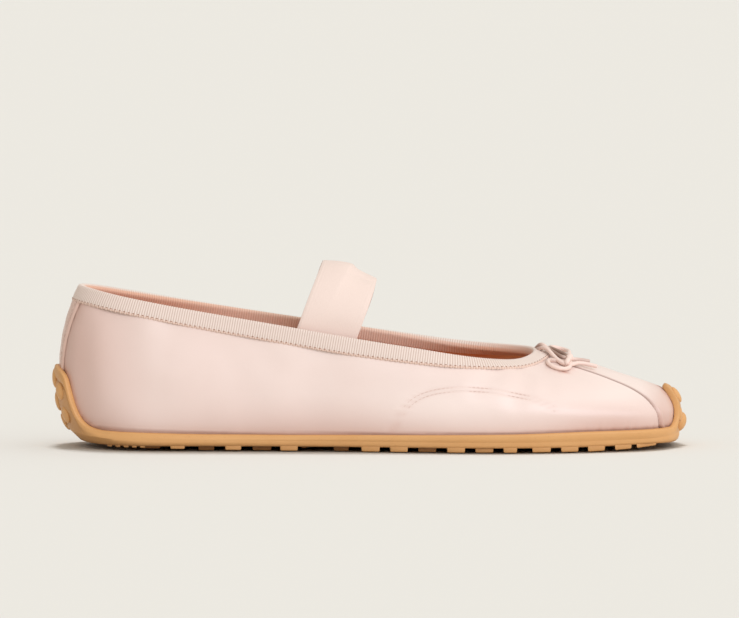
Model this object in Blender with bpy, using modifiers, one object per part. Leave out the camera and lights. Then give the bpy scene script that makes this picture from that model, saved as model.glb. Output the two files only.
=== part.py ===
"""Right ballet flat: gum rubber sole, satin upper, ribbon binding, elastic strap and cord bow.

The shoe stands on its lugs at z = 0 with the toe towards +X, and its outer side faces -Y.
The tables are in millimetres and the meshes are made in metres.
"""

import math

import bmesh
import bpy
import numpy as np
from mathutils import Vector
from mathutils.bvhtree import BVHTree

MM = 0.001

# Driving sizes, in millimetres.
WALL = 1.8  # satin, stiffener and lining together
GAP = 0.3  # clearance between pieces that meet
RIM_GAP = 0.7  # where facets of strongly curved pieces come closer than this
RIM_THICKNESS = 1.5
PLATE_TOP_DROP = 0.3  # the sole's inner face lies this far under the feather edge
INSOLE_THICKNESS = 3.2
INSOLE_INSET = 2.1

# One row for each station round the last, from the middle of the heel to the middle of the toe.
# belt is the widest line of the wall and feather is the bottom edge of the upper.
# Columns: belt_x, belt_y, belt_z, feather_x, feather_y, feather_z.
OUTER_SIDE = [
    (-122.2, 0.0, 34.0, -114.0, 0.0, 6.4),  # heel back
    (-116.0, -17.0, 32.0, -108.8, -14.5, 6.2),  # heel round
    (-98.0, -27.6, 27.0, -95.5, -24.2, 5.8),  # heel side
    (-66.0, -30.4, 22.0, -66.0, -27.2, 5.5),  # quarter
    (-35.0, -30.8, 20.0, -35.0, -28.0, 5.2),  # waist, back
    (-5.0, -33.4, 18.0, -5.0, -30.8, 5.2),  # waist
    (20.0, -37.2, 16.0, 20.0, -35.0, 5.3),  # joint, back
    (41.0, -39.8, 15.0, 41.0, -37.8, 5.5),  # ball
    (57.0, -39.9, 14.5, 56.5, -37.9, 5.8),  # ball, front
    (70.0, -38.4, 14.0, 69.5, -36.3, 6.0),  # throat
    (84.0, -35.4, 13.5, 83.3, -33.2, 6.2),  # vamp
    (98.0, -31.0, 13.2, 96.8, -28.7, 6.5),  # toe, back
    (110.5, -25.0, 13.0, 108.6, -22.6, 6.8),  # toe corner
    (118.4, -14.2, 13.0, 116.0, -12.4, 7.0),  # toe round
    (120.8, 2.0, 13.0, 118.0, 1.8, 7.2),  # toe front
]
INNER_SIDE = [
    (-122.2, 0.0, 34.0, -114.0, 0.0, 6.4),
    (-116.0, 17.0, 32.0, -108.8, 14.5, 6.2),
    (-98.0, 27.2, 27.0, -95.5, 23.7, 5.8),
    (-66.0, 28.0, 23.0, -66.0, 23.6, 5.5),
    (-35.0, 26.8, 22.0, -35.0, 21.4, 5.4),
    (-5.0, 29.6, 20.0, -5.0, 25.0, 5.4),
    (20.0, 35.2, 17.0, 20.0, 31.8, 5.4),
    (41.0, 39.2, 15.5, 41.0, 37.0, 5.5),
    (57.0, 40.1, 15.0, 56.5, 38.1, 5.8),
    (70.0, 39.0, 14.5, 69.5, 37.1, 6.0),
    (84.0, 36.4, 14.0, 83.3, 34.4, 6.2),
    (98.0, 32.2, 13.5, 96.8, 30.1, 6.5),
    (110.5, 26.6, 13.2, 108.6, 24.4, 6.8),
    (118.4, 17.0, 13.0, 116.0, 15.4, 7.0),
    (120.8, 2.0, 13.0, 118.0, 1.8, 7.2),
]
# The upper's edge at the collar, from the heel to the throat, a row for each station.
# Columns: x, y, z.
OUTER_COLLAR = [
    (-115.4, 0.0, 62.8),
    (-110.4, -11.4, 61.9),
    (-97.0, -19.8, 59.6),
    (-66.0, -25.4, 54.0),
    (-35.0, -28.0, 48.8),
    (-5.0, -29.6, 43.7),
    (20.0, -29.4, 39.7),
    (38.0, -27.0, 36.6),
    (51.0, -22.0, 35.0),
    (60.0, -14.0, 34.9),
    (65.2, 1.0, 37.0),
]
INNER_COLLAR = [
    (-115.4, 0.0, 62.8),
    (-110.4, 11.4, 61.9),
    (-97.0, 19.6, 59.6),
    (-66.0, 24.6, 54.0),
    (-35.0, 26.0, 49.0),
    (-5.0, 27.8, 44.4),
    (20.0, 29.0, 40.7),
    (38.0, 27.6, 38.4),
    (51.0, 23.4, 37.6),
    (60.0, 15.6, 37.5),
    (65.2, 1.0, 37.0),
]
# The line over the middle of the vamp, from the throat to the toe.
VAMP_RIDGE = [
    (65.2, 1.0, 37.0),
    (80.0, 1.4, 33.6),
    (93.5, 1.7, 29.8),
    (104.5, 1.9, 26.6),
    (113.0, 2.0, 23.7),
]
# How the top of the wall lies at each station: its slope along the foot, its tilt towards the
# inner side, and how square its arch is (2 is round).
# Columns: slope, tilt, square.
ARCH = [
    (0.0, 0.0, 2.0),
    (0.0, 0.0, 2.0),
    (0.0, 0.0, 2.0),
    (0.0, 0.0, 2.0),
    (0.0, 0.0, 2.0),
    (0.0, 0.0, 2.0),
    (-0.02, 0.0, 2.0),
    (-0.08, 0.02, 2.0),
    (-0.14, 0.04, 2.05),
    (-0.2, 0.06, 2.1),
    (-0.23, 0.08, 2.1),
    (-0.26, 0.06, 2.15),
    (-0.3, 0.04, 2.2),
    (-0.31, 0.02, 2.25),
    (-0.32, 0.0, 2.3),
]
HEEL_WRAP_DEG = 50.0  # how much of a quarter arch the wall uses at the middle of the heel

# The sole at each station: how far its edge and its tread lie outside the feather line, and how high.
# Columns: edge_out, edge_z, tread_out, tread_z.
SOLE = [
    (5.4, 7.4, 0.4, 2.6),
    (5.2, 6.0, 1.0, 2.2),
    (4.2, 4.4, 1.8, 2.0),
    (3.8, 4.2, 2.0, 2.0),
    (3.5, 4.2, 2.0, 2.0),
    (3.2, 4.2, 1.8, 2.0),
    (2.9, 4.2, 1.5, 2.0),
    (2.7, 4.2, 1.3, 2.0),
    (2.7, 4.2, 1.3, 2.0),
    (2.8, 4.2, 1.3, 2.0),
    (2.9, 4.3, 1.3, 2.1),
    (2.9, 4.5, 1.2, 2.3),
    (3.0, 4.8, 1.0, 2.6),
    (3.3, 5.1, 0.8, 2.9),
    (3.5, 5.2, 0.8, 3.0),
]
# Height of the rim's top edge along the foot.
# Columns: x, z.
SIDE_RIM = [
    (-122.0, 8.8),
    (-100.0, 7.9),
    (-66.0, 7.2),
    (-30.0, 7.0),
    (20.0, 7.4),
    (57.0, 7.9),
    (84.0, 8.6),
    (122.0, 9.0),
]
# The rim rises into a tab at each end: its extra height, half width and how steep its sides are.
HEEL_TAB = {"rise": 23.4, "half_width": 16.5, "steepness": 4.0}
TOE_TAB = {"rise": 12.8, "half_width": 15.0, "steepness": 3.0}
FLARE_HEIGHT = 9.0  # over this height the sole's side leaves its edge and takes the wall's form
TOE_SPRING = {"start_x": 84.0, "slope": 0.02, "curve": 0.0012}
HEEL_ROUND = {"start_x": -105.0, "radius": 22.0}

# Tread blocks down each side: the first one's middle, how many, their pitch and their length.
FRONT_BLOCKS = {"first_x": 0.3, "count": 11, "pitch": 11.15, "length": 7.5}
WAIST_BLOCKS = {"first_x": -97.5, "count": 5, "pitch": 21.9, "length": 7.5}
BLOCK_REACH = 15.0  # from the tread's edge towards the middle
BLOCK_INSET = 0.5
# Round pads that stand flat down the middle, the first under the heel and the widest under the ball.
# Columns: x, y, radius.
FLAT_PADS = [(-88.0, -0.5, 10.5), (17.0, -2.0, 7.5), (46.0, 0.0, 13.0), (74.0, 1.0, 8.5)]
PEBBLE_ROOT = 0.9  # how deep a pebble sits in the tab
# Round pebbles on the tabs: across is the distance round from the tab's middle, proud is the height.
# Columns: across, z, radius, proud.
HEEL_PEBBLES = [
    (0.0, 27.2, 4.1, 1.0),
    (0.0, 18.2, 4.3, 1.8),
    (0.0, 10.2, 3.8, 1.6),
    (-9.0, 22.6, 3.6, 1.3),
    (9.0, 22.6, 3.6, 1.3),
    (-9.6, 13.4, 3.8, 1.3),
    (9.6, 13.4, 3.8, 1.3),
]
TOE_PEBBLES = [
    (0.0, 18.2, 3.8, 1.3),
    (0.0, 9.8, 4.0, 2.5),
    (-9.0, 13.6, 3.6, 1.3),
    (9.0, 13.6, 3.6, 1.3),
]

# Ribbon binding, folded over the collar edge.
BINDING_THICKNESS = 0.7
BINDING_GAP = 0.5
BINDING_OUTSIDE = 6.3
BINDING_INSIDE = 4.0

# Elastic strap: a row for each section, with its back and front edges.
STRAP_THICKNESS = 1.2
# Columns: y, back_x, back_z, front_x, front_z.
STRAP = [
    (-23.8, -31.8, 39.5, -8.0, 35.8),  # root in the outer side
    (-24.2, -28.4, 48.8, -4.7, 45.0),
    (-21.6, -24.0, 60.5, -0.9, 55.2),
    (-12.6, -20.2, 69.6, 1.9, 63.0),
    (-0.8, -18.6, 73.0, 2.8, 65.6),  # top of the arch
    (11.0, -20.2, 69.6, 1.9, 63.0),
    (19.8, -24.0, 60.5, -0.9, 55.2),
    (22.2, -28.4, 49.2, -4.7, 45.6),
    (21.7, -31.8, 39.8, -8.0, 36.4),  # root in the inner side
]

# Cord bow at the throat: two cords that come out of the binding, and the two loops of their knot.
CORD_DIAMETER = 1.65
CORD_CLEARANCE = 0.45  # the least height that a cord keeps above the vamp's facets
# Columns: x, y, lift, which is the clear height under the cord.
BOW = {
    "outer cord": [
        (69.1, -2.3, 1.9), (70.7, -5.1, 1.5), (72.4, -7.9, 0.9), (74.2, -10.4, 0.5), (76.2, -12.1, 0.4),
        (78.4, -12.2, 0.5), (80.2, -10.8, 0.7), (81.8, -9.0, 0.8), (84.2, -8.0, 0.9), (86.8, -7.9, 1.0),
        (89.2, -8.1, 1.1),
    ],
    "inner cord": [
        (68.7, 1.4, 1.9), (70.7, -1.4, 1.4), (72.9, -4.4, 1.2), (75.1, -6.5, 1.1), (77.3, -7.0, 1.1),
        (79.4, -5.9, 0.9), (81.8, -4.7, 1.0), (84.2, -3.9, 1.1), (86.2, -3.3, 1.2),
    ],
    "outer loop": [
        (78.3, -7.6, 0.8), (78.7, -11.0, 0.5), (78.4, -14.4, 0.3), (76.4, -17.1, 0.3), (73.4, -17.7, 0.3),
        (70.8, -16.1, 0.3), (70.0, -13.3, 0.3), (71.0, -10.8, 0.1), (73.5, -9.7, 0.0), (76.0, -9.3, 0.1),
        (78.2, -8.5, 0.5),
    ],
    "inner loop": [
        (78.0, -6.4, 1.2), (76.6, -3.9, 1.5), (74.6, -0.9, 1.45), (72.5, 2.0, 1.4), (70.9, 4.9, 1.4),
        (70.8, 7.9, 1.5), (72.3, 10.2, 1.7), (74.8, 10.8, 1.8), (77.0, 9.2, 1.7), (78.0, 6.1, 1.6),
        (78.1, 2.4, 1.6), (78.0, -1.2, 1.6), (77.8, -4.4, 1.5),
    ],
}
KNOT = {"x": 78.0, "y": -8.0, "lift": 0.4, "length": 4.0, "width": 6.4, "height": 3.2}

# How finely the meshes are divided.
LOOP_STEPS = 80
END_CROWDING = 0.35  # share by which steps are shorter at heel and toe
WALL_STEPS = (3, 7)  # below and above the belt
ACROSS_STEPS = 2
RIM_STEPS = 8
CORD_STEP = 2.4
STRAP_STEPS = 22


def second_slopes(knots, rows, periodic):
    """Second derivatives of the cubic spline through the rows."""
    n = len(knots)
    step = np.diff(knots)
    system = np.zeros((n, n))
    right = np.zeros(rows.shape)
    for i in range(1, n - 1):
        system[i, i - 1 : i + 2] = step[i - 1], 2 * (step[i - 1] + step[i]), step[i]
        right[i] = 6 * ((rows[i + 1] - rows[i]) / step[i] - (rows[i] - rows[i - 1]) / step[i - 1])
    if periodic:
        system[0, 0], system[0, -1] = 1, -1
        system[-1, 0:2] = 2 * step[0], step[0]
        system[-1, -2:] = step[-1], 2 * step[-1]
        right[-1] = 6 * ((rows[1] - rows[0]) / step[0] - (rows[-1] - rows[-2]) / step[-1])
    else:
        system[0, 0] = system[-1, -1] = 1
    return np.linalg.solve(system, right)


def spline(knots, rows, periodic=False):
    """A function that gives the cubic spline's value at each distance in an array."""
    knots, rows = np.asarray(knots, float), np.asarray(rows, float)
    bend = second_slopes(knots, rows, periodic)
    length = knots[-1] - knots[0]

    def value(at):
        at = np.asarray(at, float)
        if periodic:
            at = knots[0] + np.mod(at - knots[0], length)
        i = np.clip(np.searchsorted(knots, at, side="right") - 1, 0, len(knots) - 2)
        h = (knots[i + 1] - knots[i])[..., None]
        a = (knots[i + 1] - at)[..., None] / h
        b = 1 - a
        return (
            a * rows[i]
            + b * rows[i + 1]
            + ((a**3 - a) * bend[i] + (b**3 - b) * bend[i + 1]) * h**2 / 6
        )

    return value


def there_and_back(knots):
    """Knots for going out along one side and home along the other."""
    return np.concatenate([knots, 2 * knots[-1] - knots[-2::-1]])


outer, inner = np.array(OUTER_SIDE), np.array(INNER_SIDE)
mean_belt = (outer[:, :3] * (1, -1, 1) + inner[:, :3]) / 2
STATIONS = np.concatenate([[0], np.cumsum(np.linalg.norm(np.diff(mean_belt, axis=0), axis=1))])
HALF_LOOP = STATIONS[-1]  # from the heel to the toe, along the belt
THROAT_ROW = len(OUTER_COLLAR) - 1
THROAT = STATIONS[THROAT_ROW]

loop_knots = there_and_back(STATIONS)
side_at = spline(loop_knots, np.vstack([outer, inner[-2::-1]]), periodic=True)
arch_rows = np.array(ARCH)
arch_at = spline(loop_knots, np.vstack([arch_rows, arch_rows[-2::-1]]), periodic=True)
sole_rows = np.array(SOLE)
sole_at = spline(loop_knots, np.vstack([sole_rows, sole_rows[-2::-1]]), periodic=True)
collar_at = spline(
    there_and_back(STATIONS[: THROAT_ROW + 1]),
    np.vstack([OUTER_COLLAR, INNER_COLLAR[-2::-1]]),
    periodic=True,
)
ridge_at = spline(
    there_and_back(STATIONS[THROAT_ROW:]), np.vstack([VAMP_RIDGE, VAMP_RIDGE[-2::-1]])
)


def along_one_side(loop):
    """Distance from the heel along its own side, and whether a point of the loop is on the inner side."""
    loop = np.mod(loop, 2 * HALF_LOOP)
    on_inner = loop > HALF_LOOP
    return np.where(on_inner, 2 * HALF_LOOP - loop, loop), on_inner


def top_rail(loop):
    """The upper's top line: the collar edge up to the throat, then the ridge of the vamp."""
    along, on_inner = along_one_side(loop)
    collar = collar_at(np.where(on_inner, 2 * THROAT - along, along))
    ridge = ridge_at(np.maximum(along, THROAT))
    return np.where((along < THROAT)[..., None], collar, ridge)


def wrap_angle(loop):
    """How far round its arch the wall goes before it meets the top line, in radians."""
    along, on_inner = along_one_side(loop)
    start = STATIONS[2]
    probe = np.where(on_inner, -1.0, 1.0) * np.maximum(along, start)
    top, side = top_rail(probe), side_at(probe)
    share = np.clip((top[..., 1] - 1.0) / (side[..., 1] - 1.0), 0.0, 0.92)
    share = np.where(along >= THROAT, 0.0, share)
    reached = np.arctan2(np.sqrt(1 - share**2), share)
    heel = math.radians(HEEL_WRAP_DEG)
    blend = np.clip(along / start, 0, 1)
    return heel + (reached - heel) * blend**2 * (3 - 2 * blend)


def arch_point(angle, square):
    """A point on a quarter of a rounded square of radius 1."""
    across, up = np.cos(angle), np.sin(angle)
    size = (np.abs(across) ** square + np.abs(up) ** square) ** (1 / square)
    return across / size, up / size


def wall(loop, height):
    """Points of the upper's outer face, in mm.

    height is 0 at the feather, 1 at the belt and 2 at the top line.
    """
    loop, height = np.broadcast_arrays(np.asarray(loop, float), np.asarray(height, float))
    side, top = side_at(loop), top_rail(loop)
    slope, tilt, square = np.moveaxis(arch_at(loop), -1, 0)
    belt, feather = side[..., :3], side[..., 3:]

    under = np.clip(1 - height, 0, 1) * math.pi / 2
    low_xy = belt[..., :2] + (feather - belt)[..., :2] * (1 - np.cos(under))[..., None]
    low_z = belt[..., 2] + (feather - belt)[..., 2] * np.sin(under)

    full = wrap_angle(loop)
    across, up = arch_point(np.clip(height - 1, 0, 1) * full, square)
    across_end, up_end = arch_point(full, square)
    gone = (1 - across) / (1 - across_end)
    high_xy = belt[..., :2] + (top - belt)[..., :2] * gone[..., None]
    lean = slope * (high_xy[..., 0] - top[..., 0]) + tilt * (high_xy[..., 1] - top[..., 1])
    high_z = belt[..., 2] + (top - belt)[..., 2] * up / up_end + lean * up

    low = height < 1
    xy = np.where(low[..., None], low_xy, high_xy)
    return np.concatenate([xy, np.where(low, low_z, high_z)[..., None]], axis=-1)


def wall_normal(loop, height):
    """The outward direction of the wall at each point."""
    step_loop, step_height = 0.4, 0.01
    loop, height = np.broadcast_arrays(np.asarray(loop, float), np.asarray(height, float))
    low, high = np.maximum(height - step_height, 0), np.minimum(height + step_height, 2)
    along = wall(loop + step_loop, height) - wall(loop - step_loop, height)
    normal = np.cross(along, wall(loop, high) - wall(loop, low))
    return normal / np.linalg.norm(normal, axis=-1, keepdims=True)


def outline_normal(loop):
    """The outward direction of the feather line, seen from above."""
    step = 0.5
    run = side_at(loop + step)[..., 3:5] - side_at(loop - step)[..., 3:5]
    normal = np.stack([run[..., 1], -run[..., 0], np.zeros(run.shape[:-1])], axis=-1)
    return normal / np.linalg.norm(normal, axis=-1, keepdims=True)


def feather(loop, out, drop=0.0):
    """A point outside the feather line, at the feather's height less a drop."""
    point = side_at(loop)[..., 3:] + out * outline_normal(loop)
    point[..., 2] -= drop
    return point


def height_where(loop, z):
    """The height value at which the wall of one station reaches z."""
    heights = np.linspace(0, 1.9, 77)
    return float(np.interp(z, wall(np.full(77, loop), heights)[:, 2], heights))


def toe_spring(x):
    """How far the tread is above the ground near the toe and behind the heel."""
    front = np.maximum(x - TOE_SPRING["start_x"], 0)
    back = np.minimum(np.maximum(HEEL_ROUND["start_x"] - x, 0), 0.95 * HEEL_ROUND["radius"])
    behind = HEEL_ROUND["radius"] - np.sqrt(HEEL_ROUND["radius"] ** 2 - back**2)
    return TOE_SPRING["slope"] * front + TOE_SPRING["curve"] * front**2 + behind


# Making meshes from the tables.

def make_material(name, colour, roughness):
    material = bpy.data.materials.new(name)
    material.use_nodes = True
    shader = material.node_tree.nodes["Principled BSDF"]
    shader.inputs["Base Color"].default_value = (*colour, 1.0)
    shader.inputs["Roughness"].default_value = roughness
    material.diffuse_color = (*colour, 1.0)
    return material


def add_object(name, bm, material, collection, sharp_deg=50.0):
    mesh = bpy.data.meshes.new(name)
    bm.to_mesh(mesh)
    bm.free()
    mesh.materials.append(material)
    mesh.shade_smooth()
    mesh.set_sharp_from_angle(angle=math.radians(sharp_deg))
    obj = bpy.data.objects.new(name, mesh)
    collection.objects.link(obj)
    return obj


def grid_bmesh(points):
    """A grid laid through rows of points, with points that coincide welded together."""
    points = np.asarray(points) * MM
    rows, columns = points.shape[:2]
    bm = bmesh.new()
    bmesh.ops.create_grid(bm, x_segments=columns - 1, y_segments=rows - 1, size=1)
    bm.verts.ensure_lookup_table()
    for vertex, point in zip(bm.verts, points.reshape(-1, 3)):
        vertex.co = point
    bmesh.ops.remove_doubles(bm, verts=bm.verts, dist=1e-6)
    return bm


def across(start, end, steps):
    """Points between two ends, without the ends."""
    share = np.linspace(0, 1, steps + 1)[1:-1, None]
    return start + (end - start) * share


def places_along():
    """Distances from heel to toe for the sections, closer together at both ends, with one at the throat."""
    share = np.linspace(0, 1, LOOP_STEPS // 2 + 1)
    places = HALF_LOOP * (share - END_CROWDING * np.sin(2 * math.pi * share) / (2 * math.pi))
    places[np.argmin(np.abs(places - THROAT))] = THROAT
    return places


def ring_sections(profile):
    """Closed sections across the foot, heel to toe, from a profile that runs round one side.

    The profile goes from the middle of the top face, round the side, to the bottom face.
    """
    sections = []
    for along in places_along():
        one, other = profile(along), profile(2 * HALF_LOOP - along)
        top = across(other[0], one[0], ACROSS_STEPS)
        bottom = across(one[-1], other[-1], ACROSS_STEPS)
        sections.append(np.vstack([top, one, bottom, other[::-1], top[:1]]))
    return sections


def closed_from_sections(sections):
    """A closed mesh through the sections, with its faces pointing out."""
    bm = grid_bmesh(sections)
    if bm.calc_volume(signed=True) < 0:
        bmesh.ops.reverse_faces(bm, faces=bm.faces)
    return bm


def add_modifier(obj, kind, **settings):
    modifier = obj.modifiers.new(kind.title(), kind)
    for setting, value in settings.items():
        setattr(modifier, setting, value)
    return modifier


def join_to(obj, cutter):
    add_modifier(obj, "BOOLEAN", operation="UNION", solver="EXACT", use_self=True, object=cutter)


def as_guide(obj):
    obj.hide_render = True
    obj.display_type = "WIRE"


# The pieces.

def make_upper(material, parts):
    """The lasted upper: one wall, open at the collar and under the foot."""
    below, above = WALL_STEPS
    heights = np.concatenate([np.linspace(0, 1, below + 1), np.linspace(1, 2, above + 1)[1:]])
    one_side = places_along()
    loops = np.concatenate([one_side, 2 * HALF_LOOP - one_side[-2::-1]])
    points = wall(loops[None, :], heights[:, None])
    upper = add_object("upper", grid_bmesh(points), material, parts)
    add_modifier(upper, "SOLIDIFY", thickness=WALL * MM, offset=-1, use_even_offset=True)
    return upper


def rim_z(loop):
    """Height of the rubber rim, with its tabs at the heel and the toe."""
    x, y = side_at(loop)[:2]
    z = np.interp(x, *np.array(SIDE_RIM).T)
    for tab, is_here, middle in ((HEEL_TAB, x < -60, 0.0), (TOE_TAB, x > 60, 2.0)):
        if is_here:
            z += tab["rise"] * math.exp(-abs((y - middle) / tab["half_width"]) ** tab["steepness"])
    return z


def sole_profile(loop):
    """Half a section of the sole, from its platform over the rim to the tread."""
    edge_out, edge_z, tread_out, tread_z = sole_at(loop)
    top = rim_z(loop)
    rim_height = height_where(loop, top)
    heights = np.linspace(0, rim_height, RIM_STEPS + 1)
    inside = wall(loop, heights) + RIM_GAP * wall_normal(loop, heights)
    edge = feather(loop, edge_out)
    edge[2] = edge_z
    steps = np.linspace(0, rim_height, 40)
    cover = wall(loop, steps) + (RIM_GAP + RIM_THICKNESS) * wall_normal(loop, steps)
    outside = []
    for share in (1.0, 0.75, 0.5, 0.25):
        straight = edge + (cover[-1] - edge) * share
        curved = np.array([np.interp(straight[2], cover[:, 2], cover[:, axis]) for axis in range(3)])
        held = min(1.0, (straight[2] - edge_z) / FLARE_HEIGHT)
        outside.append(straight + (curved - straight) * held)
    tread = feather(loop, tread_out)
    tread[2] = tread_z
    platform = feather(loop, -3.0, PLATE_TOP_DROP)
    return np.vstack([platform, inside, outside, edge, tread])


def tread_edge(x, inner_side):
    """How far the tread reaches to one side at x."""
    loops = np.linspace(0, HALF_LOOP, 120)
    loops = 2 * HALF_LOOP - loops if inner_side else loops
    edge = np.array([feather(loop, sole_at(loop)[2]) for loop in loops])
    return np.interp(x, edge[:, 0], edge[:, 1])


def tread_height(x):
    loops = np.linspace(0, HALF_LOOP, 120)
    edge = np.array([(feather(loop, 0.0)[0], sole_at(loop)[3]) for loop in loops])
    return np.interp(x, edge[:, 0], edge[:, 1])


def add_blocks(sole, material, guides):
    """Tread blocks down both sides and round pads under heel and ball, as one object of clear solids."""
    bm = bmesh.new()
    for row in (FRONT_BLOCKS, WAIST_BLOCKS):
        for i in range(row["count"]):
            middle = row["first_x"] + i * row["pitch"]
            for inner_side in (False, True):
                inwards = -1 if inner_side else 1
                block = bmesh.ops.create_cube(bm, size=1)
                for vertex in block["verts"]:
                    x = middle + vertex.co.x * row["length"]
                    edge = tread_edge(x, inner_side) + inwards * BLOCK_INSET
                    y = edge if vertex.co.y * inwards < 0 else edge + inwards * BLOCK_REACH
                    z = toe_spring(x) if vertex.co.z < 0 else tread_height(x) + 1.2
                    vertex.co = Vector((x, y, z)) * MM
    for x, y, radius in FLAT_PADS:
        depth = tread_height(x) + 1.2
        place = bmesh.ops.create_cone(
            bm, cap_ends=True, segments=20, radius1=radius * MM, radius2=radius * MM, depth=depth * MM
        )
        bmesh.ops.translate(bm, verts=place["verts"], vec=Vector((x, y, depth / 2)) * MM)
    blocks = add_object("tread_blocks", bm, material, guides)
    as_guide(blocks)
    join_to(sole, blocks)


def add_pebbles(sole, material, guides):
    """Low round pebbles on the outer face of the heel and toe tabs."""
    bm = bmesh.new()
    for start, pebbles in ((0.0, HEEL_PEBBLES), (HALF_LOOP, TOE_PEBBLES)):
        for shift, z, radius, proud in pebbles:
            loop = start + shift
            height = height_where(loop, z)
            face, normal = wall(loop, height), wall_normal(loop, height)
            centre = face + (RIM_GAP + RIM_THICKNESS) * normal
            ball = bmesh.ops.create_uvsphere(bm, u_segments=10, v_segments=6, radius=1)
            turn = Vector((0, 0, 1)).rotation_difference(Vector(normal)).to_matrix()
            for vertex in ball["verts"]:
                depth = proud if vertex.co.z > 0 else PEBBLE_ROOT
                flat = Vector((vertex.co.x * radius, vertex.co.y * radius, vertex.co.z * depth))
                vertex.co = (Vector(centre) + turn @ flat) * MM
    pebbles = add_object("tab_pebbles", bm, material, guides)
    as_guide(pebbles)
    join_to(sole, pebbles)


def make_sole(material, parts, guides):
    sections = ring_sections(sole_profile)
    sole = add_object("sole", closed_from_sections(sections), material, parts, sharp_deg=35.0)
    add_blocks(sole, material, guides)
    add_pebbles(sole, material, guides)
    return sole


def insole_profile(loop):
    top = feather(loop, -INSOLE_INSET - 1.0, -INSOLE_THICKNESS)
    shoulder = feather(loop, -INSOLE_INSET, 0.8 - INSOLE_THICKNESS)
    return np.vstack([top, shoulder, feather(loop, -INSOLE_INSET)])


def make_insole(material, parts):
    sections = ring_sections(insole_profile)
    return add_object("insole", closed_from_sections(sections), material, parts)


def outer_face():
    """A finely divided copy of the upper's outer face, to project things on, in mm."""
    loops = np.linspace(0, 2 * HALF_LOOP, 361)
    heights = np.linspace(0, 2, 61)
    points = wall(loops[None, :], heights[:, None])
    bm = grid_bmesh(points)
    bmesh.ops.scale(bm, verts=bm.verts, vec=(1 / MM, 1 / MM, 1 / MM))
    tree = BVHTree.FromBMesh(bm)
    bm.free()
    return tree


def on_face(tree, point):
    """The nearest point of the outer face, and the outward direction there."""
    place, normal, _, _ = tree.find_nearest(Vector(point))
    return np.array(place), np.array(normal)


def binding_section(tree, place):
    """The ribbon's folded section at one place round the collar edge."""
    step = 0.5
    edge = collar_at(place)
    run = collar_at(place + step) - collar_at(place - step)
    run /= np.linalg.norm(run)
    normal = on_face(tree, edge)[1]
    down = np.cross(run, normal)
    down /= np.linalg.norm(down)
    thick = BINDING_THICKNESS
    levels = [BINDING_OUTSIDE * share for share in (1.0, 0.5, 0.15)]
    legs = [on_face(tree, edge + down * level) for level in levels]
    inside = -(WALL + BINDING_GAP) * normal
    deep = down * BINDING_INSIDE
    rise = -down
    outer_leg = [spot + (BINDING_GAP + thick) * out for spot, out in legs]
    inner_leg = [spot + BINDING_GAP * out for spot, out in legs]
    return np.array(
        outer_leg
        + [
            edge + (BINDING_GAP + thick) * 0.8 * normal + rise * (BINDING_GAP + 0.45 * thick),
            edge - 0.5 * WALL * normal + rise * (BINDING_GAP + thick),
            edge + inside - thick * 0.8 * normal + rise * (BINDING_GAP + 0.45 * thick),
            edge + inside - thick * normal + deep,
            edge + inside + deep,
            edge + inside + rise * BINDING_GAP,
            edge + BINDING_GAP * normal + rise * BINDING_GAP,
        ]
        + inner_leg[::-1]
        + outer_leg[:1]
    )


def make_binding(material, parts, tree):
    one_side = places_along()
    one_side = one_side[one_side <= THROAT]
    places = np.concatenate([one_side, 2 * THROAT - one_side[-2::-1]])
    sections = [binding_section(tree, place) for place in places]
    return add_object("binding", closed_from_sections(sections), material, parts)


def make_strap(material, parts):
    """A flat elastic band that arches over the instep, fixed inside both sides."""
    rows = np.array(STRAP)
    knots = np.arange(len(rows), dtype=float)
    row_at = spline(knots, rows)
    sections = []
    for at in np.linspace(0, knots[-1], STRAP_STEPS + 1):
        y, back_x, back_z, front_x, front_z = row_at(at)
        back, front = np.array([back_x, y, back_z]), np.array([front_x, y, front_z])
        sections.append(back + (front - back) * np.linspace(0, 1, 4)[:, None])
    bm = grid_bmesh(sections)
    strap = add_object("strap", bm, material, parts)
    add_modifier(strap, "SOLIDIFY", thickness=STRAP_THICKNESS * MM, offset=0, use_even_offset=True)
    return strap


def above_vamp(tree, x, y, lift):
    """The middle of a cord that lies over the vamp with the given clearance."""
    place = tree.ray_cast(Vector((x, y, 80)), Vector((0, 0, -1)))[0]
    _, normal = on_face(tree, place)
    return np.array(place) + normal * (CORD_DIAMETER / 2 + max(lift, CORD_CLEARANCE))


def cord_mesh(name, points, material, guides):
    """A round cord along a smooth line through the points."""
    points = np.array(points)
    knots = np.concatenate([[0], np.cumsum(np.linalg.norm(np.diff(points, axis=0), axis=1))])
    smooth = spline(knots, points)(np.linspace(0, knots[-1], max(4, round(knots[-1] / CORD_STEP) + 1)))
    curve = bpy.data.curves.new(name, "CURVE")
    curve.dimensions = "3D"
    curve.bevel_depth = CORD_DIAMETER / 2 * MM
    curve.bevel_resolution = 2
    curve.use_fill_caps = True
    line = curve.splines.new("POLY")
    line.points.add(len(smooth) - 1)
    for spot, place in zip(line.points, smooth):
        spot.co = (*(place * MM), 1.0)
    tube = bpy.data.objects.new(name, curve)
    guides.objects.link(tube)
    bpy.context.view_layer.update()
    mesh = bpy.data.meshes.new_from_object(tube.evaluated_get(bpy.context.evaluated_depsgraph_get()))
    bpy.data.objects.remove(tube)
    bm = bmesh.new()
    bm.from_mesh(mesh)
    bpy.data.meshes.remove(mesh)
    bmesh.ops.remove_doubles(bm, verts=bm.verts, dist=1e-6)
    bmesh.ops.recalc_face_normals(bm, faces=bm.faces)
    obj = add_object(name, bm, material, guides)
    as_guide(obj)
    return obj


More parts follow.
